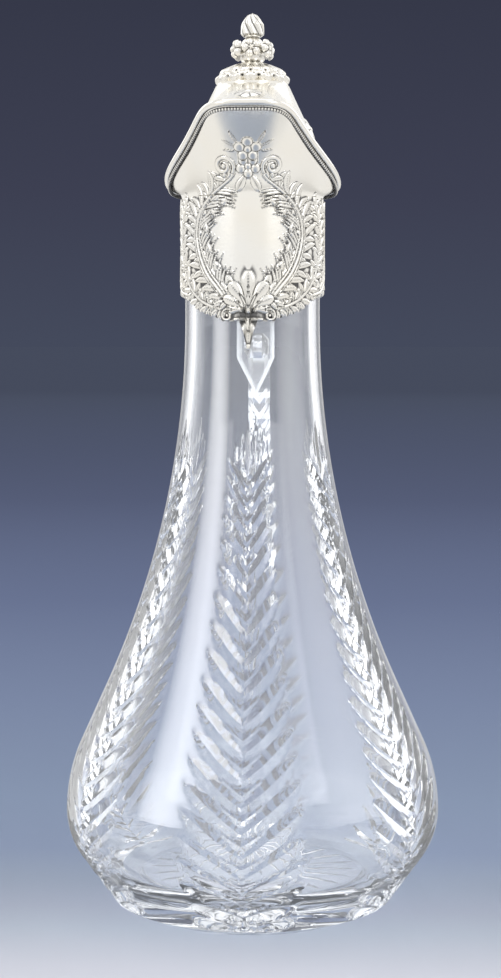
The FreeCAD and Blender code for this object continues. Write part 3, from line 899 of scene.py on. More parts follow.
@dataclass
class Chasing:
    """Raised ornament on silver, in unrolled places: along the girth at the collar, and height.

    A stroke is a row of beads. At a point, b is the greatest of 1 less the square of distance
    over width, and the stroke rises there to its height times 1 less the square of 1 less b, so it
    has a broad top and steep sides. A later stroke covers an earlier one, and its sides are grooves.
    """

    strokes: list[Stroke]

    @staticmethod
    def smooth(points: list[tuple[float, float]], count: int) -> Array:
        """A smooth line through points: a Catmull-Rom curve sampled evenly by parameter.

        Args:
            points: the places.
            count: how many places to sample.

        Returns:
            The line's places.
        """
        given = np.array(points, dtype=float)
        padded = np.concatenate([[2 * given[0] - given[1]], given, [2 * given[-1] - given[-2]]])
        place = np.linspace(0, len(given) - 1 - 1e-9, count)
        index = place.astype(int)
        t = (place - index)[:, None]
        a, b, c, d = (padded[index + k] for k in range(4))
        square, cube = 2 * a - 5 * b + 4 * c - d, 3 * b - a - 3 * c + d
        return 0.5 * (2 * b + (c - a) * t + square * t**2 + cube * t**3)

    def stem(self, points: list[tuple[float, float]], width: float, height: float, count: int) -> None:
        """Adds a long stem that thins by about a third towards its end.

        Args:
            points: places that the stem goes through.
            width: half the stem's width at its root.
            height: the stem's height, from 0 to about 1.
            count: places along the stem.
        """
        swell = width * (1 - 0.35 * np.linspace(0, 1, count))
        self.strokes.append(Stroke(self.smooth(points, count), swell, height))

    def volute(
        self, centre: tuple[float, float], radius: float, turns: float, start: float, hand: float
    ) -> None:
        """Adds a spiral: the radius shrinks evenly while the angle turns.

        Args:
            centre: its middle.
            radius: its reach at the start.
            turns: full turns.
            start: the angle where it starts, in degrees.
            hand: 1 to turn to the left, -1 to the right.
        """
        share = np.linspace(0, 1, 60)
        angle = math.radians(start) + hand * 2 * math.pi * turns * share
        reach = radius * (1 - 0.8 * share)
        line = np.array(centre) + np.stack([reach * np.cos(angle), reach * np.sin(angle)], axis=-1)
        self.strokes.append(Stroke(line, radius * (0.2 + 0.06 * share), 1.0))
        self.dot(centre, radius * 0.28, 1.1)

    def dot(self, centre: tuple[float, float], radius: float, height: float) -> None:
        """Adds one round bead."""
        self.strokes.append(Stroke(np.array([centre], dtype=float), np.array([radius]), height))

    def lobe(
        self,
        root: Array,
        degrees: float,
        length: float,
        width: float,
        curl: float,
        height: float,
        tip: float = 1.0,
    ) -> None:
        """Adds one curled lobe.

        Its direction turns evenly and its width follows a sine, so that it is widest in the middle
        where tip is 1 and nearer to its end where tip is more.

        Args:
            root: where it grows.
            degrees: its direction at the root.
            length: its length.
            width: half its width.
            curl: degrees that it turns on its way.
            height: its height, from 0 to about 1.
            tip: how near its end it is widest.
        """
        share = np.linspace(0, 1, 14)
        angle = math.radians(degrees) + math.radians(curl) * share
        run = np.stack([np.cos(angle), np.sin(angle)], axis=-1) * (length / 13)
        line = np.array(root) + np.concatenate([[[0, 0]], np.cumsum(run[:-1], axis=0)])
        swell = width * (0.42 + 0.58 * np.sin(np.pi * share**tip))
        self.strokes.append(Stroke(line, swell, height, vein=width > 1.1))

    @staticmethod
    def _foot_and_heading(line: Array, share: float) -> tuple[Array, float]:
        """A place on a stem and the stem's direction there, in degrees.

        Args:
            line: the stem's line.
            share: the share of the way along it.

        Returns:
            The place and the direction.
        """
        index = int(share * (len(line) - 2))
        heading = line[index + 1] - line[index]
        return line[index], math.degrees(math.atan2(heading[1], heading[0]))

    def leaves(
        self, line: Array, side: float, shares: Array, length: float, width: float, curl: float
    ) -> None:
        """Adds long leaves that peel off a stem and curl outwards, with a short one beside each.

        Args:
            line: the stem's line, from its root.
            side: 1 for the left of the stem's direction and -1 for the right.
            shares: where the leaves grow along the stem.
            length: the leaves' length.
            width: half the leaves' width.
            curl: degrees that a leaf turns outwards on its way.
        """
        for share in shares:
            root, base = self._foot_and_heading(line, share)
            size = length * (0.8 + 0.35 * math.sin(math.pi * share))
            self.lobe(root, base + side * 12, size, width, side * curl, 0.95, 1.9)
            self.lobe(root, base + side * 36, 0.7 * size, 0.9 * width, side * (curl + 12), 0.82, 1.7)
            self.lobe(root, base + side * 60, 0.45 * size, 0.8 * width, side * (curl + 20), 0.7, 1.5)

    def tufts(self, line: Array, side: float, shares: Array, size: float) -> None:
        """Adds tufts to a stem, each a round thumb and four fine strokes that lean forwards.

        Args:
            line: the stem's line.
            side: 1 for its left and -1 for its right.
            shares: where the tufts grow along it.
            size: the length of a tuft.
        """
        for share in shares:
            root, base = self._foot_and_heading(line, share)
            for k in range(5):
                ahead, turn = self._foot_and_heading(line, min(share + 0.1 - 0.02 * k, 1.0))
                reach = size * (0.8 + 0.08 * k)
                self.lobe(ahead, turn + side * (34 + 5 * k), reach, 0.07 * size, side * 16, 0.6)
            self.lobe(root, base + side * 66, 0.86 * size, 0.17 * size, -side * 52, 0.9, 2.4)
            self.lobe(root, base + side * 42, 0.6 * size, 0.13 * size, -side * 40, 0.9, 2.2)

    def mirrored(self) -> None:
        """Adds the mirror image of every stroke about the middle of the front."""
        flip = np.array([-1.0, 1.0])
        self.strokes = [
            stroke
            for s in self.strokes
            for stroke in (s, Stroke(s.line * flip, s.width, s.height, s.vein))
        ]

    def relief(self, across: Array, upright: Array) -> tuple[Array, Array]:
        """The ornament's height and its dark grooves at unrolled places.

        Args:
            across: places along the girth, in millimetres.
            upright: places in height, in millimetres.

        Returns:
            The height from 0 to about 1 and the groove from 0 to 1, as grids.
        """
        rise = np.zeros(across.shape, dtype=np.float32)
        groove = np.zeros(across.shape, dtype=np.float32)
        for stroke in self.strokes:
            reach = float(stroke.width.max())
            low, high = stroke.line.min(axis=0) - reach, stroke.line.max(axis=0) + reach
            near = (across > low[0]) & (across < high[0]) & (upright > low[1]) & (upright < high[1])
            if not near.any():
                continue
            a = across[near][:, None] - stroke.line[:, 0]
            b = upright[near][:, None] - stroke.line[:, 1]
            bead = (1 - (a * a + b * b) / stroke.width**2).max(axis=1)
            side = 0.56 / max(reach, 0.62)
            mark = smoothstep(side, 0.25 * side, bead)
            if stroke.vein:
                mark = np.maximum(mark, 0.75 * smoothstep(0.965, 0.995, bead))
            over = bead > 0
            rise[near] = np.where(over, stroke.height * (1 - (1 - bead) ** 2), rise[near])
            groove[near] = np.where(over, mark, groove[near])
        return rise, groove


def blurred(field: Array, rows: int, columns: int) -> Array:
    """A field averaged over a window, round the girth and between the ends.

    Args:
        field: the values on a grid.
        rows: reach of the window in rows.
        columns: its reach in columns.

    Returns:
        The averaged field.
    """
    result = field
    for axis, reach in ((0, rows), (1, columns)):
        total = np.zeros_like(result)
        for shift in range(-reach, reach + 1):
            if axis == 1:
                total += np.roll(result, shift, axis=1)
            else:
                index = np.clip(np.arange(result.shape[0]) + shift, 0, result.shape[0] - 1)
                total += result[index]
        result = total / (2 * reach + 1)
    return result


def jug_chasing() -> Chasing:
    """The ornament of the collar and the spout's throat: an oval bare field in a frame of leaves.

    Returns:
        All its strokes.
    """
    work = Chasing([])
    _side_scrolls(work)
    _oval_frame(work)
    _flowers(work)
    _palmette(work)
    work.mirrored()
    return work


def _oval_frame(work: Chasing) -> None:
    """The frame's right half: a long stem from the palmette up to a volute, with leaves and tufts.

    Args:
        work: the ornament that it is added to.
    """
    line = [
        (6.6, 248.2), (9.4, 252.0), (13.0, 256.4), (17.9, 262.2), (21.6, 269.7), (23.2, 277.7), (21.4, 285.3),
        (16.8, 291.4), (11.6, 295.6), (7.6, 298.4), (5.4, 301.0),
    ]
    stem = Chasing.smooth(line, 110)
    work.leaves(stem, -1, np.linspace(0.86, 0.06, 11), 10.5, 1.5, 52)
    work.tufts(stem, 1, (0.68, 0.56, 0.45, 0.34, 0.22, 0.1), 11.0)
    work.lobe(np.array([8.2, 297.6]), 40, 5.6, 1.2, -46, 0.85, 1.8)
    work.stem([(x - 1.5 * min(1.0, (z - 246) / 12), z + 0.6) for x, z in line[:-2]], 0.75, 0.85, 90)
    work.stem([(x + 1.3 * min(1.0, (z - 246) / 12), z - 0.3) for x, z in line[:-3]], 0.7, 0.85, 90)
    work.stem(line, 0.95, 1.0, 110)
    work.volute((9.2, 303.8), 4.1, 1.3, 215, -1)


def _side_scrolls(work: Chasing) -> None:
    """The scrolls that cover the sleeve from the frame round to the hinge.

    Args:
        work: the ornament that it is added to.
    """
    for across, upright in ((26.6, 290.4), (40.2, 290.6), (52.4, 288.4), (66.0, 289.0)):
        for turn in (55, 125, 90):
            work.lobe(np.array([across, upright - 5.0]), turn, 6.6, 1.5, 0, 0.8, 1.8)
    scrolls = [
        ([(8.6, 248.0), (15.5, 248.9), (23.0, 252.6), (29.6, 258.8), (34.0, 267.0), (35.6, 275.6),
          (34.2, 283.6), (30.0, 290.6)], 8.4),
        ([(30.4, 253.6), (38.0, 255.6), (44.2, 261.6), (47.6, 270.0), (47.6, 279.0), (43.6, 287.6)], 8.4),
        ([(56.0, 252.8), (57.6, 260.0), (60.4, 268.0), (61.0, 277.0), (57.6, 286.4)], 8.0),
        ([(88.4, 252.8), (80.6, 255.0), (74.4, 261.2), (71.4, 269.6), (72.4, 278.4), (76.6, 286.0)], 8.4),
    ]
    for points, length in scrolls:
        stem = Chasing.smooth(points, 90)
        work.leaves(stem, -1, np.linspace(0.95, 0.03, 10), length, 1.45, 50)
        work.leaves(stem, 1, np.linspace(0.92, 0.08, 9), 0.9 * length, 1.4, 46)
        work.stem(points, 0.85, 1.0, 90)


def _flowers(work: Chasing) -> None:
    """Two round flowers above the oval field, with hanging and standing leaves.

    Args:
        work: the ornament that it is added to.
    """
    work.lobe(np.array([1.0, 300.6]), -62, 6.8, 1.9, 0, 0.8, 1.6)
    work.lobe(np.array([3.4, 312.6]), 56, 4.2, 0.5, 16, 0.4)
    work.lobe(np.array([4.4, 311.2]), 26, 4.4, 0.5, 14, 0.4)
    work.lobe(np.array([4.8, 309.4]), 4, 3.6, 0.45, 10, 0.35)
    for centre, turn in ((303.6, -90), (309.9, 90)):
        for k in range(5):
            angle = math.radians(turn + 72 * k)
            if math.cos(angle) > -0.01:
                place = (3.0 * math.cos(angle), centre + 2.75 * math.sin(angle))
                work.dot(place, 1.85, 1.0)
        work.dot((0.0, centre), 1.35, 1.15)


def _palmette(work: Chasing) -> None:
    """The palmette under the oval field, its two volutes, the tie bar and the hanging husk.

    Args:
        work: the ornament that it is added to.
    """
    root = np.array([0.0, 247.2])
    for degrees, reach, width in ((8, 8.8, 1.9), (34, 10.8, 2.3), (62, 12.6, 2.8), (90, 14.6, 3.2)):
        work.lobe(root, degrees, reach, width, -14 if degrees < 90 else 0, 0.95, 3.2)
    for degrees, reach in ((90, 10.0), (64, 8.4), (36, 6.6)):
        work.lobe(root, degrees, reach, 0.6, 0, 1.1)
    work.volute((8.5, 245.2), 2.7, 1.2, 120, -1)
    bar = Chasing.smooth([(0.0, 243.7), (5.4, 243.7)], 20)
    work.strokes.append(Stroke(bar, np.full(20, 0.75), 0.95))
    for degrees, reach in ((-90, 8.6), (-64, 5.6)):
        work.lobe(np.array([0.0, 242.8]), degrees, reach, 1.5, 0, 0.9)
    work.dot((0.0, 232.7), 1.5, 1.4)


@dataclass
class CollarSilver:
    """The chased sleeve on the neck."""

    chasing: Chasing
    radius: float = 28.9
    inner_radius: float = 28.1
    top: float = 293.0
    columns: int = 620
    rows: int = 152
    relief: float = 0.95

    def _hem(self, degrees: Array) -> Array:
        """The height of the lower edge: a pendant, a drop on both sides of it and small scallops.

        Args:
            degrees: angles round the neck.

        Returns:
            Heights in millimetres.
        """
        turn = np.abs((degrees + 180) % 360 - 180)
        girth = self.radius * np.radians(turn)
        across = np.interp(
            girth,
            [3.7, 4.4, 10.6, 12.2, 17.0, 23.0, 29.5, 38.0, 48.0, 62.0, 91.0],
            [242.9, 242.4, 242.4, 244.2, 245.4, 247.3, 251.2, 253.2, 253.6, 252.0, 251.0],
        )
        pendant = 231.2 + 11.7 * np.clip((girth - 0.7) / 3.0, 0, 1) ** 0.62
        scallop = 0.75 * np.abs(np.sin(girth * np.pi / 2.9)) * smoothstep(10.5, 12.5, girth)
        return np.where(girth < 3.7, np.minimum(pendant, across), across + 0.5 - scallop)

    def build(self, maker: Maker, material: bpy.types.Material) -> None:
        """Makes the sleeve as a closed wall with the ornament raised on its outside.

        Args:
            maker: puts the sheets into the scene.
            material: the finish.
        """
        degrees = np.arange(self.columns) * 360.0 / self.columns
        turn = (degrees + 180) % 360 - 180
        hem = self._hem(degrees)
        share = np.linspace(0, 1, self.rows)[:, None]
        upright = hem + (self.top - hem) * share
        across = self.radius * np.radians(turn)[None] + 0 * upright
        height, groove = self.chasing.relief(across, upright)
        rim = smoothstep(0, 0.014, share) * smoothstep(0, 0.01, 1 - share)
        height = height * (0.35 + 0.65 * rim)
        dense = smoothstep(0.12, 0.35, blurred(height, 4, 5))
        groove = np.clip(groove + 0.9 * dense * (height < 0.02), 0, 1)
        radius = self.radius - 0.1 + self.relief * height
        angle = np.radians(degrees)[None]
        outside = round_axis(radius, angle, upright)
        levels = np.stack([0 * hem + self.top, (hem + self.top) / 2, hem])
        inside = round_axis(self.inner_radius, angle, levels)
        wall = np.concatenate([outside, inside, outside[:1]])
        marks = np.concatenate([groove, np.zeros((3, self.columns)), groove[:1]])
        sheet = Sheet(wall, marks).wrapped()
        maker.piece("collar_chased", [sheet], material, Body.JUG, ("neck_collar",))


# Spout, mouldings and lid


@dataclass
class RimLine:
    """The spout's rim: a smooth closed curve through set places, with directions along it."""

    columns: int = 360
    places: tuple[tuple[float, float, float], ...] = (
        (0, -46, 324.7), (6.05, -45.82, 324.7), (11.09, -44.53, 324.3), (14.4, -41.63, 323.25),
        (18.24, -35.19, 319.42), (24.58, -23.0, 310.97), (32.45, -7.82, 300.94), (33.6, 0, 298.3),
        (31.92, 13.9, 295.98), (22.18, 25.91, 295.4), (10.42, 30.97, 295.4), (0, 31.6, 295.4),
    )

    def __post_init__(self) -> None:
        """Solves the closed curve and samples it from the middle of the beak round."""
        half = np.array(self.places)
        flip = np.array([-1.0, 1.0, 1.0])
        knots = np.concatenate([half, half[1:-1][::-1] * flip])
        self.point, self.along = self._spline(knots)
        up = np.array([0.0, 0.0, 1.0])
        self.outward = unit(np.cross(self.along, up))
        lift = up - self.along * self.along[:, 2:3]
        self.lift = unit(lift)

    def _spline(self, knots: Array) -> tuple[Array, Array]:
        """A closed cubic curve through knots, spaced by chord, whose slopes and bends agree.

        Args:
            knots: the places that it goes through.

        Returns:
            Places on the curve and unit directions along it.
        """
        count = len(knots)
        chord = np.linalg.norm(np.roll(knots, -1, axis=0) - knots, axis=1)
        before = np.roll(chord, 1)
        matrix = np.zeros((count, count))
        index = np.arange(count)
        matrix[index, index] = 2 * (before + chord)
        matrix[index, (index - 1) % count] = before
        matrix[index, (index + 1) % count] = chord
        rise = (np.roll(knots, -1, axis=0) - knots) / chord[:, None]
        bend = np.linalg.solve(matrix, 6 * (rise - np.roll(rise, 1, axis=0)))
        start = np.concatenate([[0.0], np.cumsum(chord)])
        place = np.linspace(0, start[-1], self.columns, endpoint=False)
        k = np.clip(np.searchsorted(start, place, side="right") - 1, 0, count - 1)
        h, s = chord[k][:, None], (place - start[k])[:, None]
        a, b = bend[k], bend[(k + 1) % count]
        p, q = knots[k], knots[(k + 1) % count]
        first, last = p / h - a * h / 6, q / h - b * h / 6
        point = (a * (h - s) ** 3 + b * s**3) / (6 * h) + first * (h - s) + last * s
        slope = (b * s**2 - a * (h - s) ** 2) / (2 * h) - first + last
        return point, unit(slope)

    def around(self, radius: float, height: float) -> Array:
        """Points on a level circle, each in the direction of its column's rim point."""
        flat = unit(self.point * np.array([1.0, 1.0, 0.0]))
        return flat * radius + np.array([0.0, 0.0, height])


@dataclass
class SpoutSilver:
    """The flared spout, round at its foot and drawn out to a beak, with chasing on its throat."""

    rim: RimLine
    chasing: Chasing
    foot_radius: float = 28.9
    foot_height: float = 293.0
    wall: float = 1.0
    front_power: float = 2.0
    back_power: float = 1.4
    relief: float = 0.75
    rows: int = 114

    def build(self, maker: Maker, material: bpy.types.Material) -> None:
        """Makes the spout as a closed wall.

        A point climbs evenly from the foot circle to the rim while it moves out by the climb's
        share raised to a power, which is larger towards the beak.

        Args:
            maker: puts the sheets into the scene.
            material: the finish.
        """
        share = np.linspace(0, 1, self.rows)[:, None, None]
        foot = self.rim.around(self.foot_radius, self.foot_height)
        flat = unit(self.rim.point * np.array([1.0, 1.0, 0.0]))
        power = self.back_power + (self.front_power - self.back_power) * (1 - flat[:, 1:2]) / 2
        out = share**power
        outside = foot + (self.rim.point - foot) * np.concatenate([out, out, share + 0 * out], axis=-1)
        normal = grid_normals(outside)
        angle = np.arctan2(outside[..., 0], -outside[..., 1])
        height, groove = self.chasing.relief(self.foot_radius * angle, outside[..., 2])
        inside = outside - normal * self.wall
        inside[0] = self.rim.around(self.foot_radius - self.wall, self.foot_height)
        inside[-1] = self.rim.point - self.rim.outward * self.wall
        raised = outside + normal * (self.relief * height * smoothstep(1.0, 0.985, share[..., 0]))[..., None]
        wall = np.concatenate([raised, inside[::-1][::6], inside[:1], raised[:1]])
        marks = np.zeros(wall.shape[:2])
        marks[: self.rows] = groove
        marks[-1] = groove[0]
        sheet = Sheet(wall, marks).wrapped()
        maker.piece("spout_sheet", [sheet], material, Body.JUG, ("spout",))


@dataclass
class Mouldings:
    """The beaded wire under the spout's rim and the rolled border of the lid."""

    rim: RimLine
    wire_radius: float = 0.75
    border_radius: float = 1.4
    outset: float = 0.75
    gap: float = 0.3
    beads: int = 210
    bead_depth: float = 0.22
    swing_radius: float = 2.85
    hinge_reach: float = 35.9
    hinge_height: float = 298.0
    hinge_half_width: float = 16.0

    def _tube(self, radius: float, lift: float, beads: int, depth: float, sides: int) -> tuple[Array, Array]:
        """A round tube beside the rim whose radius swells into beads, and the painted shade on it.

        Args:
            radius: the tube's radius.
            lift: how far its middle is above the rim.
            beads: how many beads go round, or 0.
            depth: share of the radius that is lost between beads.
            sides: places round the tube.

        Returns:
            The points and the grooves.
        """
        fine = RimLine(max(beads * 6, 720))
        turn = np.linspace(0, 2 * np.pi, sides, endpoint=False) + np.pi
        along = np.arange(fine.columns) / fine.columns * beads * np.pi
        swell = 1 - depth + depth * np.abs(np.sin(along))[None]
        section = np.stack([np.cos(turn), np.sin(turn)], axis=-1)
        points = (
            fine.point[None]
            + fine.outward[None] * (radius * (self.outset + section[:, :1] * swell))[..., None]
            + fine.lift[None] * (lift + radius * section[:, 1:2] * swell)[..., None]
        )
        # Painted shade: darkens the wire between its beads and on its upper and inner side, where it meets
        # the lid's border.
        painted_seam_shade = (smoothstep(0.1, 0.75, np.sin(turn)) + smoothstep(0.45, -0.2, np.cos(turn)))[:, None]
        groove = np.clip(1.45 - np.abs(np.sin(along)) * 1.6 + painted_seam_shade, 0, 1) * (depth > 0)
        closed = np.concatenate([points, points[:1]])
        return closed, np.concatenate([groove, groove[:1]])

    def build(self, maker: Maker, wire: bpy.types.Material, border: bpy.types.Material) -> None:
        """Makes both mouldings.

        Args:
            maker: puts the sheets into the scene.
            wire: the wire's finish.
            border: the border's finish.
        """
        points, groove = self._tube(self.wire_radius, -self.wire_radius, self.beads, self.bead_depth, 12)
        sheet = Sheet(points, groove).wrapped()
        maker.piece("rim_beading", [sheet], wire, Body.JUG, ("rim_wire",))
        points, groove = self._tube(self.border_radius, self.gap + self.border_radius, 0, 0.0, 24)
        under = np.stack([points[:, :, 1] - self.hinge_reach, points[:, :, 2] - self.hinge_height], axis=-1)
        reach = np.linalg.norm(under, axis=-1, keepdims=True)
        near = (np.abs(points[..., :1]) < self.hinge_half_width) & (points[..., 1:2] > 0)
        pushed = under * np.maximum(self.swing_radius / np.maximum(reach, 1e-6), 1)
        centre = np.array([self.hinge_reach, self.hinge_height])
        points[..., 1:] = np.where(near, pushed + centre, points[..., 1:])
        sheet = Sheet(points, groove).wrapped()
        maker.piece("lid_rolled_border", [sheet], border, Body.LID, ("lid_border",))


@dataclass
class LidSilver:
    """The lid's steep shell, its flat top and a chased line of dots above its border."""

    rim: RimLine
    wall: float = 0.9
    gap: float = 0.3
    top_radius: float = 15.0
    top: float = 339.2
    hole: float = 1.7
    flange_radius: float = 8.0
    dot_pitch: float = 1.55
    rows: int = 90

    def build(self, maker: Maker, material: bpy.types.Material) -> None:
        """Makes the lid as a closed wall, straight from its edge to the round plate on top.

        Args:
            maker: puts the sheets into the scene.
            material: the finish.
        """
        plate = self.top - self.wall
        edge = self.rim.point + self.rim.lift * self.gap
        ring = self.rim.around(self.top_radius, plate)
        share = np.linspace(0, 1, self.rows)[:, None, None]
        outside = edge + (ring - edge) * share
        normal = grid_normals(outside)
        inside = outside - normal * self.wall
        inside[0] = edge - self.rim.outward * self.wall
        inside[-1] = self.rim.around(self.top_radius - self.wall, plate)
        slope = np.linalg.norm(ring - edge, axis=1)[None] * share[..., 0]
        step = np.concatenate([[0.0], np.cumsum(np.linalg.norm(np.diff(edge, axis=0), axis=1))])
        dots = np.exp(-(((slope - 4.6) / 0.5) ** 2)) * np.abs(np.sin(step * np.pi / self.dot_pitch))[None]
        line = np.exp(-(((slope - 3.5) / 0.22) ** 2))
        dent = dots * 0.28 + line * 0.12
        groove = np.clip(dots * 1.1 + line * 0.8, 0, 1) * 0.85
        pressed = outside - normal * dent[..., None]
        upper = [
            self.rim.around(self.top_radius - 0.45, plate),
            self.rim.around(self.top_radius - 0.45, self.top),
            self.rim.around(self.flange_radius, self.top),
            self.rim.around(self.hole, self.top),
            self.rim.around(self.hole, plate),
            self.rim.around(self.flange_radius, plate),
        ]
        wall = np.concatenate([pressed, np.stack(upper), inside[::-1][::6], inside[:1], pressed[:1]])
        marks = np.zeros(wall.shape[:2])
        marks[: self.rows] = groove
        maker.piece("lid_sheet", [Sheet(wall, marks).wrapped()], material, Body.LID, ("lid",))


@dataclass
class LidPalmettes:
    """Four chased shells on the lid, each a fan of ribs inside a scalloped edge."""

    rim: RimLine
    size: float = 5.6
    height: float = 0.75
    ribs: int = 9
    share_up: float = 0.56

    def build(self, maker: Maker, material: bpy.types.Material) -> None:
        """Makes a shell at the front, back and sides.

        On a disc of radius and angle, the edge is cut by nine scallops and the height is a dome
        with nine ribs, deepest near the edge. The disc lies on the lid's own surface.

        Args:
            maker: puts the sheets into the scene.
            material: the finish.
        """
        names = ("front", "right", "back", "left")
        lid = LidSilver(self.rim)
        edge = self.rim.point + self.rim.lift * lid.gap
        ring = self.rim.around(lid.top_radius, lid.top - lid.wall)
        turn = np.arctan2(edge[:, 0], -edge[:, 1])
        for k, name in enumerate(names):
            column = int(np.argmin(np.abs(np.angle(np.exp(1j * (turn - k * math.pi / 2))))))
            self._shell(maker, material, name, edge, ring, column)

    def _shell(
        self, maker: Maker, material: bpy.types.Material, name: str, edge: Array, ring: Array, column: int
    ) -> None:
        """Makes one shell on the lid at a column.

        Args:
            maker: puts the sheet into the scene.
            material: the finish.
            name: the side that the shell is on.
            edge: the lid's lower edge.
            ring: the lid's upper ring.
            column: the place along both where the shell is centred.
        """
        rows, count = 16, 108
        radius = np.linspace(0, 1, rows)[:, None]
        angle = np.linspace(0, 2 * np.pi, count, endpoint=False)[None]
        folds = np.abs(np.sin(self.ribs * angle / 2))
        scallop = 1 - 0.09 * folds
        reach = self.size * radius * scallop
        across = reach * np.cos(angle)
        upward = reach * np.sin(angle)
        dome = self.height * (1 - radius**2.4) + 0.42 * radius * (1 - radius**6) * folds
        dome = dome + 0.55 * np.exp(-((radius / 0.2) ** 2))
        groove = (1 - folds * 2.6) * smoothstep(0.15, 0.4, radius) + smoothstep(0.93, 1.0, radius)
        groove = np.clip(groove, 0, 1)
        total = len(edge)
        length = np.linalg.norm(ring[column] - edge[column])
        near = edge + (ring - edge) * self.share_up
        width = np.linalg.norm(near[(column + 6) % total] - near[(column - 6) % total]) / 12
        place = column + across / width
        low = np.floor(place).astype(int)
        part = (place - low)[..., None]
        share = (self.share_up + upward / length)[..., None]
        first = edge[low % total] + (ring[low % total] - edge[low % total]) * share
        second = edge[(low + 1) % total] + (ring[(low + 1) % total] - edge[(low + 1) % total]) * share
        base = first * (1 - part) + second * part
        beside = near[(column + 2) % total] - near[(column - 2) % total]
        off = unit(np.cross(beside, ring[column] - edge[column]))
        if off[2] < 0:
            off = -off
        top = base + off * dome[..., None]
        under = base[::-1] - off * 0.55
        wall = np.concatenate([top, under[:1], under])
        marks = np.concatenate([groove, groove[::-1][:1], groove[::-1]])
        sheet = Sheet(wall, marks).wrapped()
        maker.piece(f"palmette_{name}", [sheet], material, Body.LID, (f"lid_shell_{name}",))


# The finial


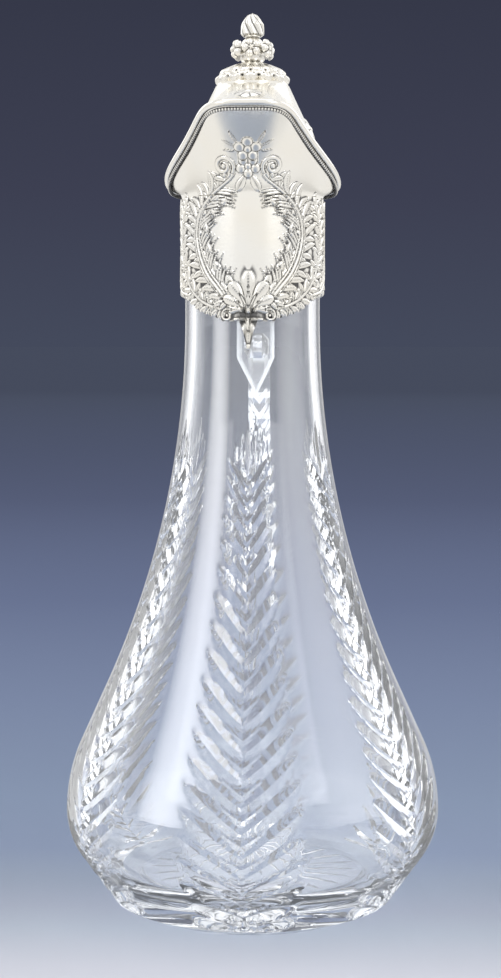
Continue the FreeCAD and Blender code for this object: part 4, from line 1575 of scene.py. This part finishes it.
@dataclass
class Finial:
    """The leaf skirt, the ring of blossoms and the bud on top of the lid."""

    foot: float = 339.2
    skirt_radius: float = 15.3
    skirt_height: float = 8.6
    waist: float = 3.9
    ring_height: float = 10.2
    bud_height: float = 10.0
    hole: float = 1.7
    lift: float = 0.02
    skirt_hollow: float = 9.0
    core_top: float = 2.6
    core_swell: float = 2.3
    blossoms: int = 6
    blossom_tilt: float = 8.0
    petal_reach: float = 4.0
    blossom_reach: float = 7.0
    leaves: int = 13
    pierced: tuple[tuple[float, float, float], ...] = (
        (0.24, 0.5, 0.62), (0.5, 0.0, 0.6), (0.34, 0.2, 0.34), (0.34, 0.8, 0.34), (0.7, 0.5, 0.45),
    )

    def _skirt(self) -> Sheet:
        """A dome of leaves in two tiers with pierced places between them.

        The dome's radius falls from its foot with a power of the height, the leaves swell it by
        sines of the angle, staggered from tier to tier, and each pierced place is a pit whose
        depth falls off with the square of the distance. The pits carry painted shade in place of
        the shade inside pierced holes, and the gaps between the lower leaves are darkened too.

        Returns:
            The closed surface.
        """
        columns, rows = 288, 52
        angle = np.linspace(0, 2 * np.pi, columns, endpoint=False)[None]
        share = np.linspace(0, 1, rows)[:, None]
        dome = self.waist + (self.skirt_radius - self.waist - 0.9) * (1 - share**2.3) ** 0.72
        lobes = self.leaves
        low = np.abs(np.cos(lobes * angle / 2)) ** 0.6
        high = np.abs(np.sin(lobes * angle / 2)) ** 0.6
        tier = smoothstep(0.36, 0.46, share)
        fade = 1 - smoothstep(0.72, 1.0, share)
        crest = np.sin(np.pi * np.clip(share / 0.42, 0, 1)) * (1 - tier) * low
        crest = crest + np.sin(np.pi * np.clip((share - 0.4) / 0.4, 0, 1)) * tier * high
        radius = dome + 1.0 * crest * fade - 2.8 * (1 - low) * smoothstep(0.3, 0.0, share)
        step = 2 * np.pi / lobes
        pits = np.zeros_like(radius)
        for place, shift, width in self.pierced:
            turn = (angle - shift * step + step / 2) % step - step / 2
            across = turn * dome / width
            along = (share - place) * self.skirt_height / (0.8 * width)
            pits = np.maximum(pits, np.exp(-(across**2 + along**2)))
        ribs = 0.16 * np.abs(np.sin(3 * lobes * angle / 2)) * fade
        radius = radius - 0.9 * pits * fade + ribs
        # Painted shade: the pits stand in for pierced holes and are painted dark; the gaps between the lower
        # leaves are darkened too.
        groove = np.clip(1.15 * pits + 0.5 * (1 - 6 * ribs) * (1 - low) * (1 - tier) - 0.12, 0, 1)
        height = self.foot + 0.3 + (self.skirt_height - 0.3) * share - 0.9 * low * smoothstep(0.2, 0.0, share)
        height = np.maximum(height, self.foot + self.lift)
        outside = round_axis(radius, angle, height)
        floor, top = self.foot + self.lift, self.foot + self.skirt_height
        closing = [
            round_axis(self.hole, angle, top),
            round_axis(self.hole, angle, floor),
            round_axis(self.skirt_hollow, angle, floor),
            round_axis(radius[:1] - 0.5, angle, floor),
        ]
        wall = np.concatenate([outside, *closing, outside[:1]])
        marks = np.concatenate([groove, np.zeros((len(closing), columns)), groove[:1]])
        return Sheet(wall, marks)

    def _core(self) -> Sheet:
        """The turned core that the blossoms sit on, with its bore.

        Returns:
            The closed surface.
        """
        low, top = self.foot + self.skirt_height, self.foot + self.skirt_height + self.ring_height
        share = np.linspace(0, 1, 24)
        radius = self.waist * (1 - share) + self.core_top * share + self.core_swell * np.sin(np.pi * share)
        radius = radius + 0.35 * np.sin(np.pi * 4 * share) ** 2
        line = np.stack([radius, low + (top - low) * share], axis=-1)
        bore = np.array([[self.hole, top], [self.hole, low]])
        line = np.concatenate([line, bore, line[:1]])
        points = turned(line, 96)
        groove = np.zeros(points.shape[:2])
        groove[:24] = np.clip(0.8 - 3 * np.abs(np.sin(np.pi * 4 * share))[:, None], 0, 0.7)
        return Sheet(points, groove)

    def _blossom(self, degrees: float) -> Sheet:
        """One blossom: five rounded petals about a domed middle, on a disc that faces out.

        The edge radius and the lift follow the absolute sine of two and a half turns.

        Args:
            degrees: where it stands round the axis.

        Returns:
            The closed surface.
        """
        rows, columns = 12, 80
        radius = np.linspace(0, 1, rows)[:, None]
        angle = np.linspace(0, 2 * np.pi, columns, endpoint=False)[None]
        petal = np.abs(np.sin(2.5 * angle))
        reach = self.petal_reach * radius * (0.72 + 0.28 * petal**0.7)
        lift = 0.9 + 0.9 * np.sin(np.pi * radius * 0.75) * (0.35 + 0.65 * petal)
        lift = lift + 1.1 * np.exp(-((radius / 0.24) ** 2))
        groove = np.clip((0.4 - petal) * 2.2 * smoothstep(0.2, 0.35, radius), 0, 1)
        groove = np.clip(groove + np.exp(-(((radius - 0.33) / 0.07) ** 2)) * 0.8, 0, 1)
        wide, tall = reach * np.cos(angle), reach * np.sin(angle)
        back = np.stack([wide, 0 * angle - 0.6 * (1 - radius), tall], axis=-1)
        front = np.stack([wide, lift * (1 - radius**8) + 0 * angle, tall], axis=-1)
        disc = np.concatenate([front, back[::-1]])
        marks = np.concatenate([groove + 0 * angle, 0.4 + 0 * groove[::-1]])
        up, out = math.radians(self.blossom_tilt), math.radians(degrees)
        y = disc[..., 1] * math.cos(up) - disc[..., 2] * math.sin(up)
        z = disc[..., 1] * math.sin(up) + disc[..., 2] * math.cos(up)
        y = y + self.blossom_reach
        x = disc[..., 0]
        placed = np.stack(
            [
                y * math.sin(out) + x * math.cos(out),
                -y * math.cos(out) + x * math.sin(out),
                z + self.foot + self.skirt_height + self.ring_height * 0.52,
            ],
            axis=-1,
        )
        return Sheet(placed, marks)

    def _bud(self) -> Sheet:
        """A bud of eight overlapping petals that wind up to a point: ridges that turn with height.

        Returns:
            The closed surface.
        """
        columns, rows = 144, 56
        low = self.foot + self.skirt_height + self.ring_height
        share = np.linspace(0, 1, rows)[:, None]
        angle = np.linspace(0, 2 * np.pi, columns, endpoint=False)[None]
        swell = 3.4 * np.sin(np.pi * share**0.72) ** 0.9 * (1 - 0.28 * share)
        body = np.clip(2.6 * (1 - share) ** 0.5 + swell + 0.5 * share, 0, 4.75)
        wind = 4.0 * angle + 5.2 * share
        ridge = np.abs(np.sin(wind))
        depth = 0.75 * np.sin(np.pi * np.clip(share * 1.02, 0, 1)) ** 0.6
        radius = body * smoothstep(1.0, 0.9, share) - depth * (1 - ridge**0.7)
        radius = np.maximum(radius, 0.0) * (share < 0.999)
        groove = np.clip((0.42 - ridge) * 2.6, 0, 1) * smoothstep(0.0, 0.12, share)
        outside = round_axis(radius, angle, low + self.bud_height * share)
        close = round_axis(0.0, angle, low)
        return Sheet(np.concatenate([close, outside]), np.concatenate([0 * groove[:1], groove]))

    def build(self, maker: Maker, material: bpy.types.Material) -> None:
        """Makes the three pieces of the finial.

        Args:
            maker: puts the sheets into the scene.
            material: the finish.
        """
        skirt = self._skirt().wrapped()
        maker.piece("finial_skirt", [skirt], material, Body.LID, ("finial_rosette",))
        turns = np.arange(self.blossoms) * 360.0 / self.blossoms
        sheets = [self._core().wrapped(), *(self._blossom(turn).wrapped() for turn in turns)]
        maker.piece("finial_flowers", sheets, material, Body.LID, ("finial_blossoms",))
        maker.piece("finial_tip", [self._bud().wrapped()], material, Body.LID, ("finial_bud",))


# The studio


@dataclass
class Studio:
    """A pale floor that fades to slate blue far away, soft lamps and the camera."""

    distance: float = 0.78
    height: float = 0.23569
    azimuth_degrees: float = 3.3
    tilt: float = 0.0790739
    lens: float = 69.46
    pixel_shift: float = 2.0
    floor_radius: float = 60.0
    floor_drop: float = 0.0004
    aim_height: float = 0.18
    soft_boxes: tuple[tuple[float, float, float], ...] = (
        (40, 30, 5.0),
        (130, 30, 4.0),
        (230, 30, 4.0),
        (320, 30, 5.0),
    )
    top_power: float = 5.0
    panels: tuple[tuple[float, float, float, float], ...] = (
        (-52, 14, 38.0, 1.1),
        (70, 14, 26.0, 1.9),
        (128, 12, 20.0, 1.1),
        (-112, 12, 20.0, 1.9),
    )
    pool: float = 0.9
    plain_floor: Colour = (0.8, 0.79, 0.77)
    runner_colour: Colour = (0.33, 0.37, 0.45)
    floor_stops: tuple[tuple[float, Colour], ...] = (
        (0.0, (0.81, 0.81, 0.82)),
        (0.12, (0.79, 0.79, 0.82)),
        (0.209, (0.56, 0.575, 0.645)),
        (0.2427, (0.407, 0.449, 0.528)),
        (0.2582, (0.346, 0.378, 0.464)),
        (0.2797, (0.274, 0.318, 0.405)),
        (0.301, (0.23, 0.277, 0.388)),
        (0.3361, (0.218, 0.27, 0.381)),
        (0.4098, (0.177, 0.219, 0.333)),
        (0.499, (0.129, 0.159, 0.262)),
        (0.633, (0.096, 0.115, 0.193)),
        (0.9437, (0.08, 0.095, 0.145)),
        (1.0, (0.072, 0.085, 0.13)),
    )

    def camera(self) -> None:
        """Places the camera in front of the spout, a little to the right, looking slightly down."""
        data = bpy.data.cameras.new("camera")
        data.lens = self.lens
        data.sensor_width = 36.0
        data.sensor_fit = "AUTO"
        data.shift_x = -self.pixel_shift / 978
        data.clip_start = 0.01
        camera = bpy.data.objects.new("camera", data)
        bpy.context.scene.collection.objects.link(camera)
        turn = math.radians(self.azimuth_degrees)
        camera.location = (self.distance * math.sin(turn), -self.distance * math.cos(turn), self.height)
        camera.rotation_euler = (math.pi / 2 - self.tilt, 0.0, turn)
        bpy.context.scene.camera = camera

    def floor(self) -> None:
        """A large disc that is pale in front of the jug and fades to slate behind it.

        Mirrored in silver it is plain and pale, with a slate runner from the jug to the front.
        """
        mesh = bpy.data.meshes.new("studio_floor")
        angle = np.linspace(0, 2 * np.pi, 128, endpoint=False)
        ring = round_axis(self.floor_radius, angle, -self.floor_drop)
        mesh.from_pydata(ring.tolist(), [], [list(range(128))])
        floor = bpy.data.objects.new("studio_floor", mesh)
        bpy.context.scene.collection.objects.link(floor)
        material, graph = new_graph("studio_floor")
        parts = graph.add("ShaderNodeSeparateXYZ", Vector=graph.coordinates())
        back = (graph.wire(parts, "Y") + self.pool) * 0.125 - 0.09
        ramp = graph.add("ShaderNodeValToRGB", {"stops": list(self.floor_stops)}, Fac=back.clamped() ** 0.35)
        path = graph.add("ShaderNodeLightPath")
        looked_at = (graph.wire(path, "Is Camera Ray") + graph.wire(path, "Is Transmission Ray")).clamped()
        runner = ((0.24 - graph.wire(parts, "X").size()) * 5.0).clamped()
        runner = runner * ((graph.wire(parts, "Y") + 1.0) * 2.0).clamped()
        mirrored = graph.mix(runner, (*self.plain_floor, 1), (*self.runner_colour, 1))
        colour = graph.mix(looked_at, mirrored, graph.wire(ramp))
        shader = graph.add("ShaderNodeBsdfPrincipled", Base_Color=colour, Roughness=1.0)
        shader.inputs["Specular IOR Level"].default_value = 0.0
        finish_graph(graph, shader)
        mesh.materials.append(material)

    def world(self) -> None:
        """A slate sky that darkens upwards for the eye, and plain soft light for the rest.

        Glass sees the slate straight behind it, and soft light above, to both sides and in front.
        """
        world = bpy.data.worlds.new("studio")
        bpy.context.scene.world = world
        world.use_nodes = True
        graph = Graph(world.node_tree)
        direction = graph.wire(graph.add("ShaderNodeTexCoord"), "Generated")
        parts = graph.add("ShaderNodeSeparateXYZ", Vector=direction)
        upright = graph.wire(parts, "Z")
        behind = graph.wire(parts, "Y")
        seen_stops = [
            (0.0, (0.058, 0.0685, 0.107)),
            (0.38, (0.047, 0.0513, 0.0844)),
            (0.85, (0.037, 0.041, 0.067)),
            (1.0, (0.035, 0.038, 0.061)),
        ]
        slate = graph.add("ShaderNodeValToRGB", {"stops": seen_stops}, Fac=(upright * 5.0).clamped())
        seen = graph.wire(slate)
        soft_stops = [(0.0, (0.9, 0.9, 0.9)), (0.3, (0.97, 0.965, 0.95)), (1.0, (0.84, 0.84, 0.84))]
        soft = graph.wire(
            graph.add("ShaderNodeValToRGB", {"stops": soft_stops}, Fac=(upright * 0.9 + 0.25).clamped())
        )
        path = graph.add("ShaderNodeLightPath")
        open_side = (upright * 6.0 - 1.1).clamped() + ((0.9 - behind) * 4.0).clamped()
        through = graph.mix(open_side.clamped(), seen, (0.93, 0.95, 0.98, 1.0))
        dimmed = graph.mix(graph.wire(path, "Is Diffuse Ray"), soft, (0.83, 0.83, 0.83, 1.0))
        colour = graph.mix(graph.wire(path, "Is Transmission Ray"), dimmed, through)
        colour = graph.mix(graph.wire(path, "Is Camera Ray"), colour, seen)
        background = graph.add("ShaderNodeBackground", Color=colour, Strength=1.0)
        graph.add("ShaderNodeOutputWorld", Surface=graph.wire(background))

    def lamps(self) -> None:
        """Large soft boxes round the jug, hidden from the camera, and one above."""
        for k, (turn, rise, power) in enumerate(self.soft_boxes):
            self._box(f"soft_box_{k}", turn, rise, 2.1, (0.9, 1.5), power)
        self._box("soft_box_top", 0, 88, 1.9, (1.2, 1.2), self.top_power)

    def glass_panels(self, glass: list[bpy.types.Object]) -> None:
        """Tall panels that only the glass mirrors, as the long soft lights on its smooth strips.

        Args:
            glass: the glass objects.
        """
        lit = bpy.data.collections.new("mirroring_glass")
        for thing in glass:
            lit.objects.link(thing)
        for k, (turn, rise, power, width) in enumerate(self.panels):
            lamp = self._box(f"glass_panel_{k}", turn, rise, 1.7, (width, 1.8), power)
            lamp.visible_transmission = False
            lamp.light_linking.receiver_collection = lit
            self._soften(lamp.data)

    @staticmethod
    def _soften(lamp: bpy.types.AreaLight) -> None:
        """Makes a panel brightest in its middle: its strength follows u times 1 less u across it.

        Args:
            lamp: the panel's light.
        """
        lamp.use_nodes = True
        graph = Graph(lamp.node_tree)
        place = graph.wire(graph.add("ShaderNodeNewGeometry"), "Parametric")
        parts = graph.add("ShaderNodeSeparateXYZ", Vector=place)
        across, upright = graph.wire(parts, "X"), graph.wire(parts, "Y")
        strength = (across * (1.0 - across) * 6.0) * (upright * (1.0 - upright) * 5.5).clamped()
        glow = graph.add("ShaderNodeEmission", Strength=strength)
        graph.add("ShaderNodeOutputLight", Surface=graph.wire(glow))

    def _box(
        self, name: str, turn: float, rise: float, distance: float, size: tuple[float, float], power: float
    ) -> bpy.types.Object:
        """One area lamp that looks at the jug's middle.

        Args:
            name: its name.
            turn: degrees round the jug from the front.
            rise: degrees above the floor.
            distance: metres from the jug.
            size: its width and height in metres.
            power: its power in watts.

        Returns:
            The lamp.
        """
        data = bpy.data.lights.new(name, "AREA")
        data.shape = "RECTANGLE"
        data.size, data.size_y = size
        data.energy = power
        lamp = bpy.data.objects.new(name, data)
        bpy.context.scene.collection.objects.link(lamp)
        a, e = math.radians(turn), math.radians(rise)
        back = Vector((math.sin(a) * math.cos(e), -math.cos(a) * math.cos(e), math.sin(e)))
        lamp.location = back * distance + Vector((0, 0, self.aim_height))
        lamp.rotation_euler = (-back).to_track_quat("-Z", "Y").to_euler()
        lamp.visible_camera = False
        return lamp

    def build(self) -> None:
        """Sets up the whole studio and the plain view settings."""
        self.camera()
        self.floor()
        self.world()
        self.lamps()
        bpy.context.scene.view_settings.view_transform = "Standard"


def main() -> None:
    """Builds the jug's looks in order and logs each piece."""
    logging.basicConfig(level=logging.INFO, format="%(message)s")
    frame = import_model()
    nodes = frame["nodes"]
    studio = Studio()
    studio.build()
    maker = Maker()
    chased = Silver("silver_chased").material()
    polished = Silver("silver_polished", roughness=0.16, groove_roughness=0.5).material()
    cast = Silver("silver_cast", dark=(0.045, 0.045, 0.05), roughness=0.2).material()
    hinge = Silver("silver_hinge", roughness=0.22, grooves=False).material()
    glass = Glass("glass_cut").material()
    handle_glass = BarGlass(Glass("glass_handle", tint=(0.98, 0.99, 1.0))).material()
    plaster = Solid("plaster", (0.83, 0.81, 0.76), (0.72, 0.7, 0.64), 0.0, 0.8).material()
    gilt = Solid("gilding", (0.86, 0.71, 0.42), (0.78, 0.6, 0.32), 1.0, 0.22, 700.0, 0.00002).material()
    steel = Solid("turned_steel", (0.66, 0.66, 0.67), (0.5, 0.5, 0.51), 1.0, 0.32, 800.0, 0.00003).material()

    body = CutGlassBody(GlassOutline()).build(maker, glass)
    chasing = jug_chasing()
    CollarSilver(chasing).build(maker, chased)
    rim = RimLine()
    SpoutSilver(RimLine(620), chasing).build(maker, polished)
    Mouldings(rim).build(maker, chased, polished)
    LidSilver(rim).build(maker, chased)
    LidPalmettes(rim).build(maker, cast)
    Finial().build(maker, cast)

    finishes = {
        "glass_handle": handle_glass,
        "cement_bed": plaster,
        "mouth_liner": gilt,
        "hinge_base": hinge,
        "hinge_pin": steel,
        "hinge_leaf": hinge,
        "thumbpiece": hinge,
        "finial_stud": steel,
        "finial_washer": steel,
        "finial_nut": steel,
    }
    for name, material in finishes.items():
        maker.dress(nodes[name], material)
    nodes["glass_handle"].visible_shadow = False
    studio.glass_panels([body, nodes["glass_handle"]])


if __name__ == "__main__":
    main()
